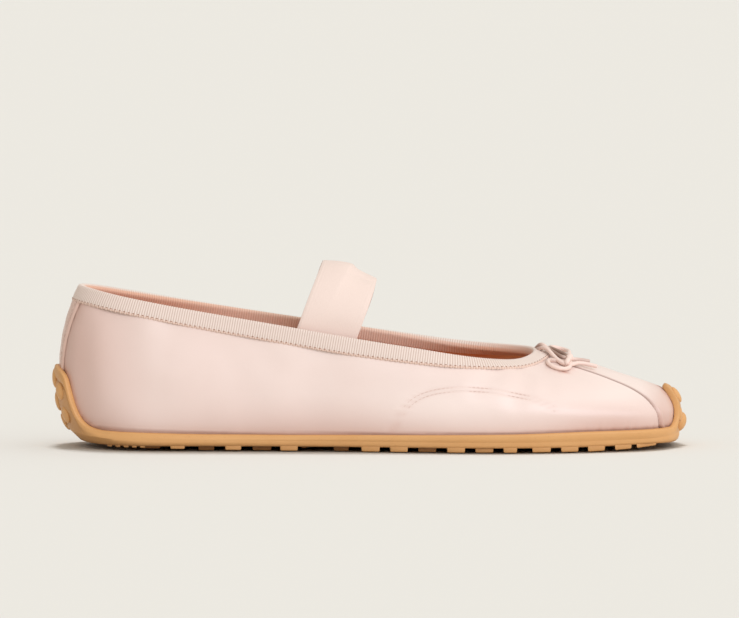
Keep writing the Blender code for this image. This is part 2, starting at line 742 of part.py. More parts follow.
def make_bow(material, parts, guides, tree):
    """The knot with its two cords and two loops, joined."""
    bm = bmesh.new()
    bmesh.ops.create_uvsphere(bm, u_segments=12, v_segments=8, radius=0.5)
    size = (KNOT["length"] * MM, KNOT["width"] * MM, KNOT["height"] * MM)
    bmesh.ops.scale(bm, verts=bm.verts, vec=size)
    lift = KNOT["lift"] + (KNOT["height"] - CORD_DIAMETER) / 2
    bmesh.ops.translate(
        bm, verts=bm.verts, vec=Vector(above_vamp(tree, KNOT["x"], KNOT["y"], lift)) * MM
    )
    bow = add_object("bow", bm, material, parts)
    for name, rows in BOW.items():
        points = [above_vamp(tree, *row) for row in rows]
        join_to(bow, cord_mesh(name.replace(" ", "_"), points, material, guides))
    return bow


def main():
    for obj in list(bpy.data.objects):
        bpy.data.objects.remove(obj)
    parts = bpy.data.collections.new("ballet_flat")
    guides = bpy.data.collections.new("guides")
    bpy.context.scene.collection.children.link(parts)
    bpy.context.scene.collection.children.link(guides)

    satin = make_material("satin", (0.88, 0.70, 0.62), 0.42)
    gum = make_material("gum_rubber", (0.66, 0.37, 0.16), 0.6)
    ribbon = make_material("ribbon", (0.72, 0.54, 0.45), 0.55)
    elastic = make_material("elastic", (0.92, 0.78, 0.70), 0.6)
    cord = make_material("cord", (0.88, 0.70, 0.62), 0.5)
    leather = make_material("lining_leather", (0.60, 0.36, 0.24), 0.65)

    tree = outer_face()
    make_upper(satin, parts)
    make_sole(gum, parts, guides)
    make_insole(leather, parts)
    make_binding(ribbon, parts, tree)
    make_strap(elastic, parts)
    make_bow(cord, parts, guides, tree)


main()
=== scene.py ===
import math

import bmesh
import bpy
import numpy as np
from mathutils import Matrix, Vector
from mathutils.bvhtree import BVHTree


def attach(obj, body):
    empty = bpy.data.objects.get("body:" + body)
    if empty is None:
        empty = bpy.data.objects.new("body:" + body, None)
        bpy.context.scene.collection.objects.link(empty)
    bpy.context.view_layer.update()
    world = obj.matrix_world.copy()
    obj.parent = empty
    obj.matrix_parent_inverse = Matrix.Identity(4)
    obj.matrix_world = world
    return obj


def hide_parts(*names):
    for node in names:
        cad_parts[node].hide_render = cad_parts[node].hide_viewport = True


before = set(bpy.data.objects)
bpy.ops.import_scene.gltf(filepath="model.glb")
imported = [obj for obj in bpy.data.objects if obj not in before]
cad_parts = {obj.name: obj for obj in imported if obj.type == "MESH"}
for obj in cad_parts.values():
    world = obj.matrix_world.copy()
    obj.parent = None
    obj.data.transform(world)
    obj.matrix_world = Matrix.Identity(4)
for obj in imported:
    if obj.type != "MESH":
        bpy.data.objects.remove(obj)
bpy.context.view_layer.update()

mm = 0.001
print("frame loaded")

# camera, floor and light
studio = {
    "distance": 8.0,  # metres: a long lens, so the near and far edges keep one scale
    "elevation": 4.5,
    "aim": (-0.0001, 0.0, 0.0539),
    "spanWide": 0.2916,  # metres across the frame at the shoe
    "sensor": 36, "clip": (0.1, 60),
    "backdrop": (236, 232, 223),
    # strength, turn and softness in degrees, colour, and whether the floor is in or out of its light
    "lights": {
        "key": (1.12, (62, 0, 30), 30, (0.96, 1.01, 1.15), "EXCLUDE"),
        "top": (0.15, (6, 10, 0), 60, (1, 1, 1), "EXCLUDE"),
        "floor": (1.9, (-14, 0, 0), 14, (1, 1, 1), "INCLUDE"),
    },
    # how bright the room is, from the heel side to the toe side and from low to high
    "alongRoom": (-0.8, 0.5, 0.6, 1.08), "upRoom": (-0.1, 0.9, 0.9, 1.14),
    "floorAlbedo": (0.607, 0.601, 0.583, 1), "floorSize": 12, "floorDrop": 0.00005,
}


def linear(colour):
    share = np.array(colour, float) / 255
    return (*np.where(share <= 0.04045, share / 12.92, ((share + 0.055) / 1.055) ** 2.4), 1)


def addNode(tree, kind, inputs=None, output=0, **settings):
    # add a node, feed it values or sockets, and give back one of its outputs
    made = tree.nodes.new("ShaderNode" + kind)
    for name, value in settings.items():
        setattr(made, name, value)
    for name, value in (inputs or {}).items():
        if isinstance(value, bpy.types.NodeSocket):
            tree.links.new(value, made.inputs[name])
        else:
            made.inputs[name].default_value = value
    return made.outputs[output]


def remap(tree, value, fromMin, fromMax, toMin, toMax):
    return addNode(tree, "MapRange", {"Value": value, "From Min": fromMin, "From Max": fromMax,
                                      "To Min": toMin, "To Max": toMax})


def newMaterial(name, sockets):
    material = bpy.data.materials.new(name)
    material.use_nodes = True
    shader = material.node_tree.nodes["Principled BSDF"]
    for socket, value in sockets.items():
        shader.inputs[socket].default_value = value
    return material, material.node_tree, shader.inputs


def addObject(name, data):
    made = bpy.data.objects.new(name, data)
    bpy.context.scene.collection.objects.link(made)
    return made


def setCamera():
    lens = bpy.data.cameras.new("studioCamera")
    lens.sensor_width = studio["sensor"]
    lens.lens = studio["sensor"] * studio["distance"] / studio["spanWide"]
    lens.clip_start, lens.clip_end = studio["clip"]
    camera = addObject("studioCamera", lens)
    rise = math.radians(studio["elevation"])
    back = Vector((0, -math.cos(rise), math.sin(rise)))
    camera.location = Vector(studio["aim"]) + back * studio["distance"]
    camera.rotation_euler = (math.radians(90 - studio["elevation"]), 0, 0)
    bpy.context.scene.camera = camera
    bpy.context.scene.view_settings.view_transform = "Standard"


def setRoom():
    # the camera sees an even backdrop, and the light it gives is uneven
    world = bpy.data.worlds.new("softRoom")
    world.use_nodes = True
    tree = world.node_tree
    background = tree.nodes["Background"]
    background.inputs["Color"].default_value = linear(studio["backdrop"])
    place = addNode(tree, "TexCoord", output="Generated")
    along, up = (
        remap(tree, addNode(tree, "SeparateXYZ", {0: place}, axis), *studio[span])
        for axis, span in ((0, "alongRoom"), (2, "upRoom"))
    )
    room = addNode(tree, "Math", {0: along, 1: up}, operation="MULTIPLY")
    inView = addNode(tree, "LightPath", output="Is Camera Ray")
    seen = addNode(tree, "MixRGB", {"Fac": inView, "Color1": room, "Color2": (1, 1, 1, 1)})
    tree.links.new(seen, background.inputs["Strength"])
    bpy.context.scene.world = world


def setFloorAndLights():
    bm = bmesh.new()
    bmesh.ops.create_grid(bm, x_segments=8, y_segments=8, size=studio["floorSize"])
    bmesh.ops.translate(bm, verts=bm.verts, vec=(0, 0, -studio["floorDrop"]))
    mesh = bpy.data.meshes.new("studioFloor")
    bm.to_mesh(mesh)
    bm.free()
    floorLook = {"Roughness": 0.9, "Specular IOR Level": 0.1, "Base Color": studio["floorAlbedo"]}
    mesh.materials.append(newMaterial("studioFloor", floorLook)[0])
    floor = addObject("studioFloor", mesh)
    for name, (strength, turn, softness, colour, onFloor) in studio["lights"].items():
        sun = bpy.data.lights.new(name + "Light", "SUN")
        sun.energy, sun.angle, sun.color = strength, math.radians(softness), colour
        lamp = addObject(name + "Light", sun)
        lamp.rotation_euler = [math.radians(part) for part in turn]
        group = bpy.data.collections.new(name + "LightOn")
        group.objects.link(floor)
        group.collection_objects[0].light_linking.link_state = onFloor
        lamp.light_linking.receiver_collection = group


setCamera()
setRoom()
setFloorAndLights()
print("studio set")

# the last: the shape that every piece is laid on, in millimetres
last = {
    # belt_x, belt_y, belt_z, feather_x, feather_y, feather_z, from the heel to the toe
    "outerSide": [
        (-122, 0, 30, -114, 0, 6.4), (-115.9, -17, 29.5, -108.8, -14.5, 6.2),
        (-98, -27.6, 27, -95.5, -24.2, 5.8), (-66, -30.4, 22, -66, -27.2, 5.5),
        (-35, -30.8, 20, -35, -28, 5.2), (-5, -33.4, 18, -5, -30.8, 5.2), (20, -37.2, 16, 20, -35, 5.3),
        (41, -39.8, 15, 41, -37.8, 5.5), (57, -39.9, 14.5, 56.5, -37.9, 5.8),
        (70, -38.4, 14, 69.5, -36.3, 6), (84, -35.4, 13.5, 83.3, -33.2, 6.2),
        (98, -31, 13.2, 96.8, -28.7, 6.5), (110.5, -25, 13, 108.6, -22.6, 6.8),
        (118.4, -14.2, 13, 116, -12.4, 7), (120.8, 2, 13, 118, 1.8, 7.2),
    ],
    "innerSide": [
        (-122, 0, 30, -114, 0, 6.4), (-115.9, 17, 29.5, -108.8, 14.5, 6.2),
        (-98, 27.2, 27, -95.5, 23.7, 5.8), (-66, 28, 23, -66, 23.6, 5.5),
        (-35, 26.8, 22, -35, 21.4, 5.4), (-5, 29.6, 20, -5, 25, 5.4), (20, 35.2, 17, 20, 31.8, 5.4),
        (41, 39.2, 15.5, 41, 37, 5.5), (57, 40.1, 15, 56.5, 38.1, 5.8), (70, 39, 14.5, 69.5, 37.1, 6),
        (84, 36.4, 14, 83.3, 34.4, 6.2), (98, 32.2, 13.5, 96.8, 30.1, 6.5),
        (110.5, 26.6, 13.2, 108.6, 24.4, 6.8), (118.4, 17, 13, 116, 15.4, 7),
        (120.8, 2, 13, 118, 1.8, 7.2),
    ],
    # the collar edge, heel to throat
    "outerCollar": [
        (-114.1, 0, 63), (-109.3, -11.4, 62.1), (-97, -19.8, 59.6), (-66, -25.4, 54), (-35, -28, 48.8),
        (-5, -29.6, 43.7), (20, -29.4, 39.7), (38, -27, 36.6), (51, -22, 35), (60, -14, 34.9),
        (65.2, 1, 37),
    ],
    "innerCollar": [
        (-114.1, 0, 63), (-109.3, 11.4, 62.1), (-97, 19.6, 59.6), (-66, 24.6, 54), (-35, 26, 49),
        (-5, 27.8, 44.4), (20, 29, 40.7), (38, 27.6, 38.4), (51, 23.4, 37.6), (60, 15.6, 37.5),
        (65.2, 1, 37),
    ],
    "vampRidge": [
        (65.2, 1, 37), (80, 1.4, 33.6), (93.5, 1.7, 29.8), (104.5, 1.9, 26.6), (113, 2, 23.7),
    ],
    # slope along the foot, tilt to the inner side, squareness of the arch
    "arch": [
        *[(0, 0, 2)] * 6, (-0.02, 0, 2), (-0.08, 0.02, 2), (-0.14, 0.04, 2.05), (-0.2, 0.06, 2.1),
        (-0.23, 0.08, 2.1), (-0.26, 0.06, 2.15), (-0.3, 0.04, 2.2), (-0.31, 0.02, 2.25), (-0.32, 0, 2.3),
    ],
    "heelWrap": 34.0,  # degrees of the arch round the back of the heel
    "wrapRow": 2,  # the station where that has run out
    "ridgeY": 1.0, "mostShare": 0.92,
    "wall": 1.8,  # satin, stiffener and lining together
}


def unit(rows):
    return rows / np.linalg.norm(rows, axis=-1, keepdims=True)


def runAlong(line):
    # how far along a line each of its points is
    return np.concatenate([[0], np.cumsum(np.linalg.norm(np.diff(line, axis=0), axis=1))])


def ramp(value, start, run):
    # 0 before the start, 1 after the run
    return np.clip((value - start) / run, 0, 1)


def bump(distance, width):
    return np.exp(-(distance / width) ** 2)


def fade(distance, reach):
    return np.exp(-np.maximum(distance, 0) / reach)


def spline(knots, rows, periodic=False):
    # a smooth curve through the rows, as a function of where it is asked for
    knots, rows = np.asarray(knots, float), np.asarray(rows, float)
    count, step = len(knots), np.diff(knots)
    system, right = np.eye(count), np.zeros((count, rows[0].size))
    rise = np.diff(rows.reshape(count, -1), axis=0) / step[:, None]
    for i in range(1, count - 1):
        system[i, i - 1:i + 2] = step[i - 1], 2 * (step[i - 1] + step[i]), step[i]
    right[1:-1] = 6 * np.diff(rise, axis=0)
    if periodic:
        system[0, -1] = -1
        system[-1, :2] = 2 * step[0], step[0]
        system[-1, -2:] = step[-1], 2 * step[-1]
        right[-1] = 6 * (rise[0] - rise[-1])
    bend = np.linalg.solve(system, right).reshape(rows.shape)
    spare = (1,) * (rows.ndim - 1)

    def value(at):
        at = np.asarray(at, float)
        if periodic:
            at = knots[0] + np.mod(at - knots[0], knots[-1] - knots[0])
        i = np.clip(np.searchsorted(knots, at, side="right") - 1, 0, len(knots) - 2)
        h = (knots[i + 1] - knots[i]).reshape(at.shape + spare)
        a = (knots[i + 1] - at).reshape(at.shape + spare) / h
        b = 1 - a
        curved = (a**3 - a) * bend[i] + (b**3 - b) * bend[i + 1]
        return a * rows[i] + b * rows[i + 1] + curved * h**2 / 6

    return value


def lineThrough(points, step):
    # a smooth line through the points, with a point every step
    points = np.array(points, float)
    knots = runAlong(points)
    fine = spline(knots, points)(np.linspace(0, knots[-1], 40 * len(points)))
    run = runAlong(fine)
    places = np.linspace(0, run[-1], max(3, round(run[-1] / step) + 1))
    return np.stack([np.interp(places, run, column) for column in fine.T], axis=-1)


def thereAndBack(knots):
    return np.concatenate([knots, 2 * knots[-1] - knots[-2::-1]])


def bothSides(outer, inner=None):
    # rows of the outer side, then those of the inner side on the way back
    return np.vstack([outer, (outer if inner is None else inner)[-2::-1]])


outerSide, innerSide = np.array(last["outerSide"]), np.array(last["innerSide"])
stations = runAlong((outerSide[:, :3] * (1, -1, 1) + innerSide[:, :3]) / 2)
halfLoop = stations[-1]
throatRow = len(last["outerCollar"]) - 1
throat = stations[throatRow]
loopKnots = thereAndBack(stations)
sideAt = spline(loopKnots, bothSides(outerSide, innerSide), True)
archAt = spline(loopKnots, bothSides(last["arch"]), True)
collarRows = bothSides(last["outerCollar"], last["innerCollar"])
collarAt = spline(thereAndBack(stations[:throatRow + 1]), collarRows, True)
ridgeAt = spline(thereAndBack(stations[throatRow:]), bothSides(last["vampRidge"]))


def alongOneSide(loop):
    loop = np.mod(loop, 2 * halfLoop)
    onInner = loop > halfLoop
    return np.where(onInner, 2 * halfLoop - loop, loop), onInner


def topRail(loop):
    along, onInner = alongOneSide(loop)
    collar = collarAt(np.where(onInner, 2 * throat - along, along))
    return np.where((along < throat)[..., None], collar, ridgeAt(np.maximum(along, throat)))


def wrapAngle(loop):
    # how much of the arch a section takes up before it meets the top line
    along, onInner = alongOneSide(loop)
    start = stations[last["wrapRow"]]
    probe = np.where(onInner, -1.0, 1.0) * np.maximum(along, start)
    top, side = topRail(probe), sideAt(probe)
    topY, sideY = top[..., 1] - last["ridgeY"], side[..., 1] - last["ridgeY"]
    share = np.clip(topY / sideY, 0.0, last["mostShare"])
    share = np.where(along >= throat, 0.0, share)
    reached = np.arctan2(np.sqrt(1 - share**2), share)
    heel = math.radians(last["heelWrap"])
    blend = np.clip(along / start, 0, 1)
    return heel + (reached - heel) * blend**2 * (3 - 2 * blend)


def archPoint(angle, square):
    across, up = np.cos(angle), np.sin(angle)
    size = (np.abs(across) ** square + np.abs(up) ** square) ** (1 / square)
    return across / size, up / size


def wallAt(loop, height):
    # height is 0 at the feather, 1 at the belt and 2 at the top line
    loop, height = np.broadcast_arrays(np.asarray(loop, float), np.asarray(height, float))
    side, top = sideAt(loop), topRail(loop)
    slope, tilt, square = np.moveaxis(archAt(loop), -1, 0)
    belt, edge = side[..., :3], side[..., 3:]
    under = np.clip(1 - height, 0, 1) * math.pi / 2
    lowXy = belt[..., :2] + (edge - belt)[..., :2] * (1 - np.cos(under))[..., None]
    lowZ = belt[..., 2] + (edge - belt)[..., 2] * np.sin(under)
    full = wrapAngle(loop)
    across, up = archPoint(np.clip(height - 1, 0, 1) * full, square)
    acrossEnd, upEnd = archPoint(full, square)
    gone = (1 - across) / (1 - acrossEnd)
    highXy = belt[..., :2] + (top - belt)[..., :2] * gone[..., None]
    lean = slope * (highXy[..., 0] - top[..., 0]) + tilt * (highXy[..., 1] - top[..., 1])
    highZ = belt[..., 2] + (top - belt)[..., 2] * up / upEnd + lean * up
    low = height < 1
    xy = np.where(low[..., None], lowXy, highXy)
    return np.concatenate([xy, np.where(low, lowZ, highZ)[..., None]], axis=-1)


def wallNormal(loop, height):
    loop, height = np.broadcast_arrays(np.asarray(loop, float), np.asarray(height, float))
    height = np.minimum(height, 1.985)
    low, high = np.maximum(height - 0.01, 0), height + 0.01
    along = wallAt(loop + 0.4, height) - wallAt(loop - 0.4, height)
    return unit(np.cross(along, wallAt(loop, high) - wallAt(loop, low)))


def offWall(loop, height, out):
    return wallAt(loop, height) + out * wallNormal(loop, height)


def outlineNormal(loop):
    run = sideAt(loop + 0.5)[..., 3:5] - sideAt(loop - 0.5)[..., 3:5]
    return unit(np.stack([run[..., 1], -run[..., 0], np.zeros(run.shape[:-1])], axis=-1))


def feather(loop, out, rise=0.0):
    # a point beside the lower edge of the upper
    point = sideAt(loop)[..., 3:] + np.asarray(out)[..., None] * outlineNormal(loop)
    point[..., 2] += rise
    return point


def heightWhere(loop, z):
    heights = np.linspace(0, 1.9, 96)
    return float(np.interp(z, wallAt(np.full(96, loop), heights)[:, 2], heights))


def placesAlong(spans):
    # distances from heel to toe; each span is its end and its step
    places, start = [0.0], 0.0
    for end, step in spans:
        count = max(1, round((end - start) / step))
        places += list(np.linspace(start, end, count + 1)[1:])
        start = end
    return np.array(places)


def crossing(count):
    # places from one edge at -1 to the other at 1, closer together at both edges
    return np.sin(np.linspace(-1, 1, count) * math.pi / 2)


def gridMesh(points, uvs=None, values=None, weld=1e-6, closed=True):
    # faces laid through rows of points in millimetres, as an open sheet or as a closed body
    rows, columns = points.shape[:2]
    bm = bmesh.new()
    uvLayer = bm.loops.layers.uv.new("UVMap")
    layers = {name: bm.verts.layers.float.new(name) for name in (values or {})}
    bmesh.ops.create_grid(bm, x_segments=columns - 1, y_segments=rows - 1, size=1)
    bm.verts.ensure_lookup_table()
    bm.verts.index_update()
    for vertex, point in zip(bm.verts, points.reshape(-1, 3) * mm):
        vertex.co = point
    for name, layer in layers.items():
        for vertex, value in zip(bm.verts, np.broadcast_to(values[name], (rows, columns)).ravel()):
            vertex[layer] = value
    if uvs is not None:
        flat = uvs.reshape(-1, 2)
        for face in bm.faces:
            for corner in face.loops:
                corner[uvLayer].uv = flat[corner.vert.index]
    bmesh.ops.remove_doubles(bm, verts=bm.verts, dist=weld)
    openEdges = [edge for edge in bm.edges if edge.is_boundary]
    if closed and openEdges:
        bmesh.ops.holes_fill(bm, edges=openEdges, sides=0)
    if closed and bm.calc_volume(signed=True) < 0:
        bmesh.ops.reverse_faces(bm, faces=bm.faces)
    return bm


def addPiece(name, bm, material, replaced=(), sharpDeg=55, thickness=None):
    mesh = bpy.data.meshes.new(name)
    bm.to_mesh(mesh)
    bm.free()
    mesh.materials.append(material)
    mesh.shade_smooth()
    mesh.set_sharp_from_angle(angle=math.radians(sharpDeg))
    piece = addObject(name, mesh)
    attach(piece, "root")
    if replaced:
        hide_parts(*replaced)
    if thickness:
        thicken = piece.modifiers.new("thickness", "SOLIDIFY")
        thicken.thickness = thickness * mm
        thicken.offset = -1
    return piece


def addGrid(name, material, slotName, replaced, grid, uvs, values=None, sharpDeg=55, **settings):
    return addPiece(name, gridMesh(grid, uvs, values, **settings), material, [replaced], sharpDeg)


def gridNormals(points):
    normal = np.cross(np.gradient(points, axis=1), np.gradient(points, axis=0))
    return normal / np.maximum(np.linalg.norm(normal, axis=-1, keepdims=True), 1e-9)


def gridRun(points, axis):
    # how far each point of a grid is along its row or column
    first = np.take(points, [0], axis=axis)
    return np.cumsum(np.linalg.norm(np.diff(points, axis=axis, prepend=first), axis=-1), axis=axis)


def distanceTo(points, line):
    flat = points.reshape(-1, 3)
    best = np.full(len(flat), 1e9)
    for start, end in zip(line[:-1], line[1:]):
        run = end - start
        share = np.clip((flat - start) @ run / (run @ run), 0, 1)
        best = np.minimum(best, np.linalg.norm(flat - start - share[:, None] * run, axis=1))
    return best.reshape(points.shape[:-1])


def pointAt(line, run, place):
    return Vector([float(np.interp(place, run, column)) for column in line.T])


def addStitches(name, lines, style, material):
    # small rounded stitches laid along lines in millimetres, each line with its outward directions
    bm = bmesh.new()
    sizes = (style["length"] / 2, style["width"] / 2, style["width"] / 2)
    for line, normals in lines:
        run = runAlong(line)
        for place in np.arange(style["pitch"] / 2, run[-1], style["pitch"]):
            spot, normal = pointAt(line, run, place), pointAt(normals, run, place)
            heading = (pointAt(line, run, place + 0.3) - pointAt(line, run, place - 0.3)).normalized()
            side = normal.cross(heading).normalized()
            up = heading.cross(side)
            turn = Matrix([part * size for part, size in zip((heading, side, up), sizes)]).transposed()
            stitch = Matrix.Translation((spot + up * style["lift"]) * mm) @ (turn * mm).to_4x4()
            bmesh.ops.create_uvsphere(bm, u_segments=8, v_segments=5, radius=1, matrix=stitch)
    addPiece(name, bm, material)


# materials: the noises of each (two scales along the weave or one through the solid, then the detail), the
# layers of colour laid over its base, and its roughness and bump
satin = {
    "sheen": (0.2, 0.35), "sheenTint": (255, 244, 240), "specular": 0.55,
    "noises": {"threads": (1.1, 9, 2), "picks": (7, 1.6, 2), "cloud": (38, 3)},
    "base": "cloud", "light": (241, 222, 215), "dark": (231, 208, 199),
    # layers: the weave's lighter threads; gleam is painted highlight, shade is painted shade, and line is
    # the dark seams with their painted shadow lines
    "layers": [("threads", "threadAndHighlight", 0.35, 0.75, 0.0, 0.10), ("gleam", "threadAndHighlight"), ("shade", "deep"),
               ("line", "line")],
    "threadAndHighlight": (250, 233, 226), "deep": (196, 146, 128), "line": (134, 92, 76),
    "roughness": 0.38, "rough": ("picks", 0.06, 0.08),
    "bump": ("threads", "picks"), "strength": 0.10, "distance": 0.0002,
}
cordLook = {"light": (246, 222, 212), "dark": (238, 210, 198), "deep": (126, 88, 68), "strength": 0.25}
stripLook = {"light": (226, 192, 178), "dark": (218, 181, 166), "deep": (176, 128, 110)}
ribbon = {
    "sheen": (0.15, 0.4), "specular": 0.25, "noises": {"threads": (3, 5.5, 2)},
    "base": "threads", "light": (237, 222, 213), "dark": (228, 210, 200),
    "layers": [("ribShade", "ribShadeColour"), ("shade", "deep")], "ribValleyShade": (-1.0, 0.3, 0.5, 0.0),
    "ribShadeColour": (180, 143, 124), "deep": (220, 148, 104),
    "roughness": 0.6, "bump": ("threads",), "strength": 0.25, "distance": 0.0001,
}
lining = {
    "sheen": (0, 0.5), "specular": 0.35, "pores": 900, "noises": {"cloud": (60, 4), "grain": (1350, 3)},
    "base": "cloud", "light": (226, 155, 113), "dark": (214, 142, 100),
    # painted light: the lining is painted paler towards the throat
    "layers": [("throatLight", "throatLight")], "throatLight": (250, 202, 160),
    "roughness": 0.62, "bump": ("pores", "grain"), "strength": 0.25, "distance": 0.00015,
}
sock = {
    **lining, "pores": 700, "noises": {"cloud": (60, 4), "grain": (1050, 3)},
    "light": (231, 187, 161), "dark": (220, 173, 146), "layers": [], "roughness": 0.55, "strength": 0.3,
}
rubber = {
    "sheen": (0, 0.5), "specular": 0.4,
    "noises": {"cloud": (70, 4), "fleck": (1500, 2), "skin": (420, 3)},
    "base": "cloud", "light": (221, 169, 111), "dark": (211, 156, 97),
    "layers": [("fleck", "fleck", 0.62, 0.75, 0.0, 0.35), ("shade", "deep")],
    "fleck": (190, 136, 82), "deep": (150, 98, 52),
    "roughness": 0.5, "rough": ("skin", 0.1, 0.1),
    "bump": ("skin",), "strength": 0.12, "distance": 0.0002,
}
elastic = {
    "sheen": (0.25, 0.5), "specular": 0.2, "noises": {"knit": (0.8, 4.5, 2), "picks": (4, 1.2, 2)},
    "base": "knit", "light": (238, 219, 209), "dark": (231, 209, 199), "layers": [],
    "roughness": 0.7, "bump": ("knit", "picks"), "strength": 0.3, "distance": 0.0002,
}


def threadLook(*colour):
    return {
        "sheen": (0.1, 0.5), "specular": 0.5, "noises": {"twist": (2500, 1)},
        "base": "twist", "light": colour, "dark": np.array(colour) * 0.93, "layers": [],
        "roughness": 0.55, "bump": ("twist",), "strength": 0.3, "distance": 0.0001,
    }


def ribValleyShade(tree, levels):
    # painted shade between the ribs, where u counts them; the piece says how deep its ribs are
    u = addNode(tree, "SeparateXYZ", {0: addNode(tree, "TexCoord", output="UV")})
    turn = addNode(tree, "Math", {0: u, 1: 2 * math.pi}, operation="MULTIPLY")
    wave = remap(tree, addNode(tree, "Math", {0: turn}, operation="COSINE"), *levels)
    ribs = addNode(tree, "Attribute", output="Fac", attribute_name="ribs")
    return addNode(tree, "Math", {0: wave, 1: ribs}, operation="MULTIPLY")


def makeMaterial(name, look):
    material, tree, shader = newMaterial(name, {
        "Roughness": look["roughness"], "Specular IOR Level": look["specular"],
        "Sheen Weight": look["sheen"][0], "Sheen Roughness": look["sheen"][1],
        "Sheen Tint": linear(look.get("sheenTint", (255, 255, 255))),
    })
    flat, solid = (addNode(tree, "TexCoord", output=kind) for kind in ("UV", "Object"))
    made = {}
    for label, (*scales, detail) in look["noises"].items():
        onWeave = len(scales) > 1
        place = addNode(tree, "Mapping", {"Vector": flat, "Scale": (*scales, 1)}) if onWeave else solid
        noise = {"Vector": place, "Scale": 1 if onWeave else scales[0], "Detail": detail}
        made[label] = addNode(tree, "TexNoise", noise)
    if "pores" in look:
        made["pores"] = addNode(tree, "TexVoronoi", {"Vector": solid, "Scale": look["pores"]})
    if "ribValleyShade" in look:
        made["ribShade"] = ribValleyShade(tree, look["ribValleyShade"])
    layers = [(look["base"], "light"), *look["layers"]]
    tone = linear(look["dark"])
    for source, colour, *levels in layers:
        share = made.get(source) or addNode(tree, "Attribute", output="Fac", attribute_name=source)
        share = remap(tree, share, *levels) if levels else share
        tone = addNode(tree, "Mix", {0: share, 6: tone, 7: linear(look[colour])}, 2, data_type="RGBA")
    tree.links.new(tone, shader["Base Color"])
    if "rough" in look:
        source, less, more = look["rough"]
        spread = remap(tree, made[source], 0, 1, look["roughness"] - less, look["roughness"] + more)
        tree.links.new(spread, shader["Roughness"])
    height = made[look["bump"][0]]
    if len(look["bump"]) > 1:
        height = addNode(tree, "Math", {0: height, 1: made[look["bump"][1]]}, operation="ADD")
    raised = {"Strength": look["strength"], "Distance": look["distance"], "Height": height}
    tree.links.new(addNode(tree, "Bump", raised), shader["Normal"])
    return material


blushSatin, blushRibbon = makeMaterial("blushSatin", satin), makeMaterial("blushRibbon", ribbon)
cordSatin = makeMaterial("cordSatin", {**satin, **cordLook})
stripSatin = makeMaterial("stripSatin", {**satin, **stripLook})
peachLining, sockLeather = makeMaterial("peachLining", lining), makeMaterial("sockLeather", sock)
gumRubber, paleElastic = makeMaterial("gumRubber", rubber), makeMaterial("paleElastic", elastic)
blushThread = makeMaterial("blushThread", threadLook(233, 205, 194))
deepThread = makeMaterial("deepThread", threadLook(176, 130, 108))
print("materials ready")

# the bow: two cords and their knot
bow = {
    "diameter": 1.65, "around": 20, "step": 0.3, "strandTurns": 7 / (2 * math.pi),
    "twistPitch": 1.3, "twistDepth": 0.035,
    "endReach": 0.35,  # the share of the radius over which a cut end is rounded
    # x, y and the clear height under the cord
    "cords": {
        "outerCord": [
            (65.6, 3, -0.6), (66.5, 1.3, 0.4), (67.6, -0.2, 1.5), (69.1, -2.3, 1.9), (70.7, -5.1, 1.5),
            (72.4, -7.9, 0.9), (74.2, -10.4, 0.5), (76.2, -12.1, 0.4), (78.4, -12.2, 0.5),
            (80.2, -10.8, 0.7), (81.8, -9, 0.8), (84.2, -8, 0.9), (86.8, -7.9, 1), (89.2, -8.1, 1.1),
        ],
        "innerCord": [
            (63.6, 12.6, -0.9), (64.6, 9.4, -0.9), (65.3, 6.6, -0.5), (66, 4.7, 0.8), (67, 3.2, 2.1),
            (68.7, 1.4, 1.9), (70.7, -1.4, 1.4), (72.9, -4.4, 1.2), (75.1, -6.5, 1.1), (77.3, -7, 1.1),
            (79.4, -5.9, 0.9), (81.8, -4.7, 1), (84.2, -3.9, 1.1), (86.2, -3.3, 1.2),
        ],
        "outerLoop": [
            (78.3, -7.6, 0.8), (78.7, -11, 0.5), (78.4, -14.4, 0.3), (76.4, -17.1, 0.3),
            (73.4, -17.7, 0.3), (70.8, -16.1, 0.3), (70, -13.3, 0.3), (71, -10.8, 0.1), (73.5, -9.7, 0),
            (76, -9.3, 0.1), (78.2, -8.5, 0.5),
        ],
        "innerLoop": [
            (78, -6.4, 1.2), (76.6, -3.9, 1.5), (74.6, -0.9, 1.45), (72.5, 2, 1.4), (70.9, 4.9, 1.4),
            (70.8, 7.9, 1.5), (72.3, 10.2, 1.7), (74.8, 10.8, 1.8), (77, 9.2, 1.7), (78, 6.1, 1.6),
            (78.1, 2.4, 1.6), (78, -1.2, 1.6), (77.8, -4.4, 1.5),
        ],
    },
    # where each cord lies in shadow, as a share of its length, and how deep
    "dusk": {
        "outerCord": [(0, 0.09, 0.6)], "outerLoop": [(0.66, 1, 0.25)], "innerLoop": [(0, 0.36, 0.85)],
        "innerCord": [(0, 0.3, 0.7), (0.45, 0.7, 0.85), (0.84, 1.2, 0.35)],
    },
    # x, y, turn and reach of each turn of cord round the knot
    "wraps": [(78.3, -4.8, 20, 1.5), (77.9, -8.0, 5, 1.75), (77.6, -11.2, -14, 1.55)],
    "knotThickness": 1.75, "knotLift": 0.85,
}
above = 80  # millimetres, higher than the shoe


def outerFace():
    loops, heights = np.linspace(0, 2 * halfLoop, 721), np.linspace(0, 2, 121)
    bm = gridMesh(wallAt(loops[None, :], heights[:, None]), closed=False)
    bmesh.ops.scale(bm, verts=bm.verts, vec=(1 / mm,) * 3)
    tree = BVHTree.FromBMesh(bm)
    bm.free()
    return tree


face = outerFace()


def onFace(point):
    place, normal, _, _ = face.find_nearest(Vector(point))
    return np.array(place), np.array(normal)


def onVamp(x, y):
    return face.ray_cast(Vector((x, y, above)), Vector((0, 0, -1)))[0]


def aboveVamp(x, y, lift):
    place = onVamp(x, y)
    return np.array(place) + onFace(place)[1] * (bow["diameter"] / 2 + lift)


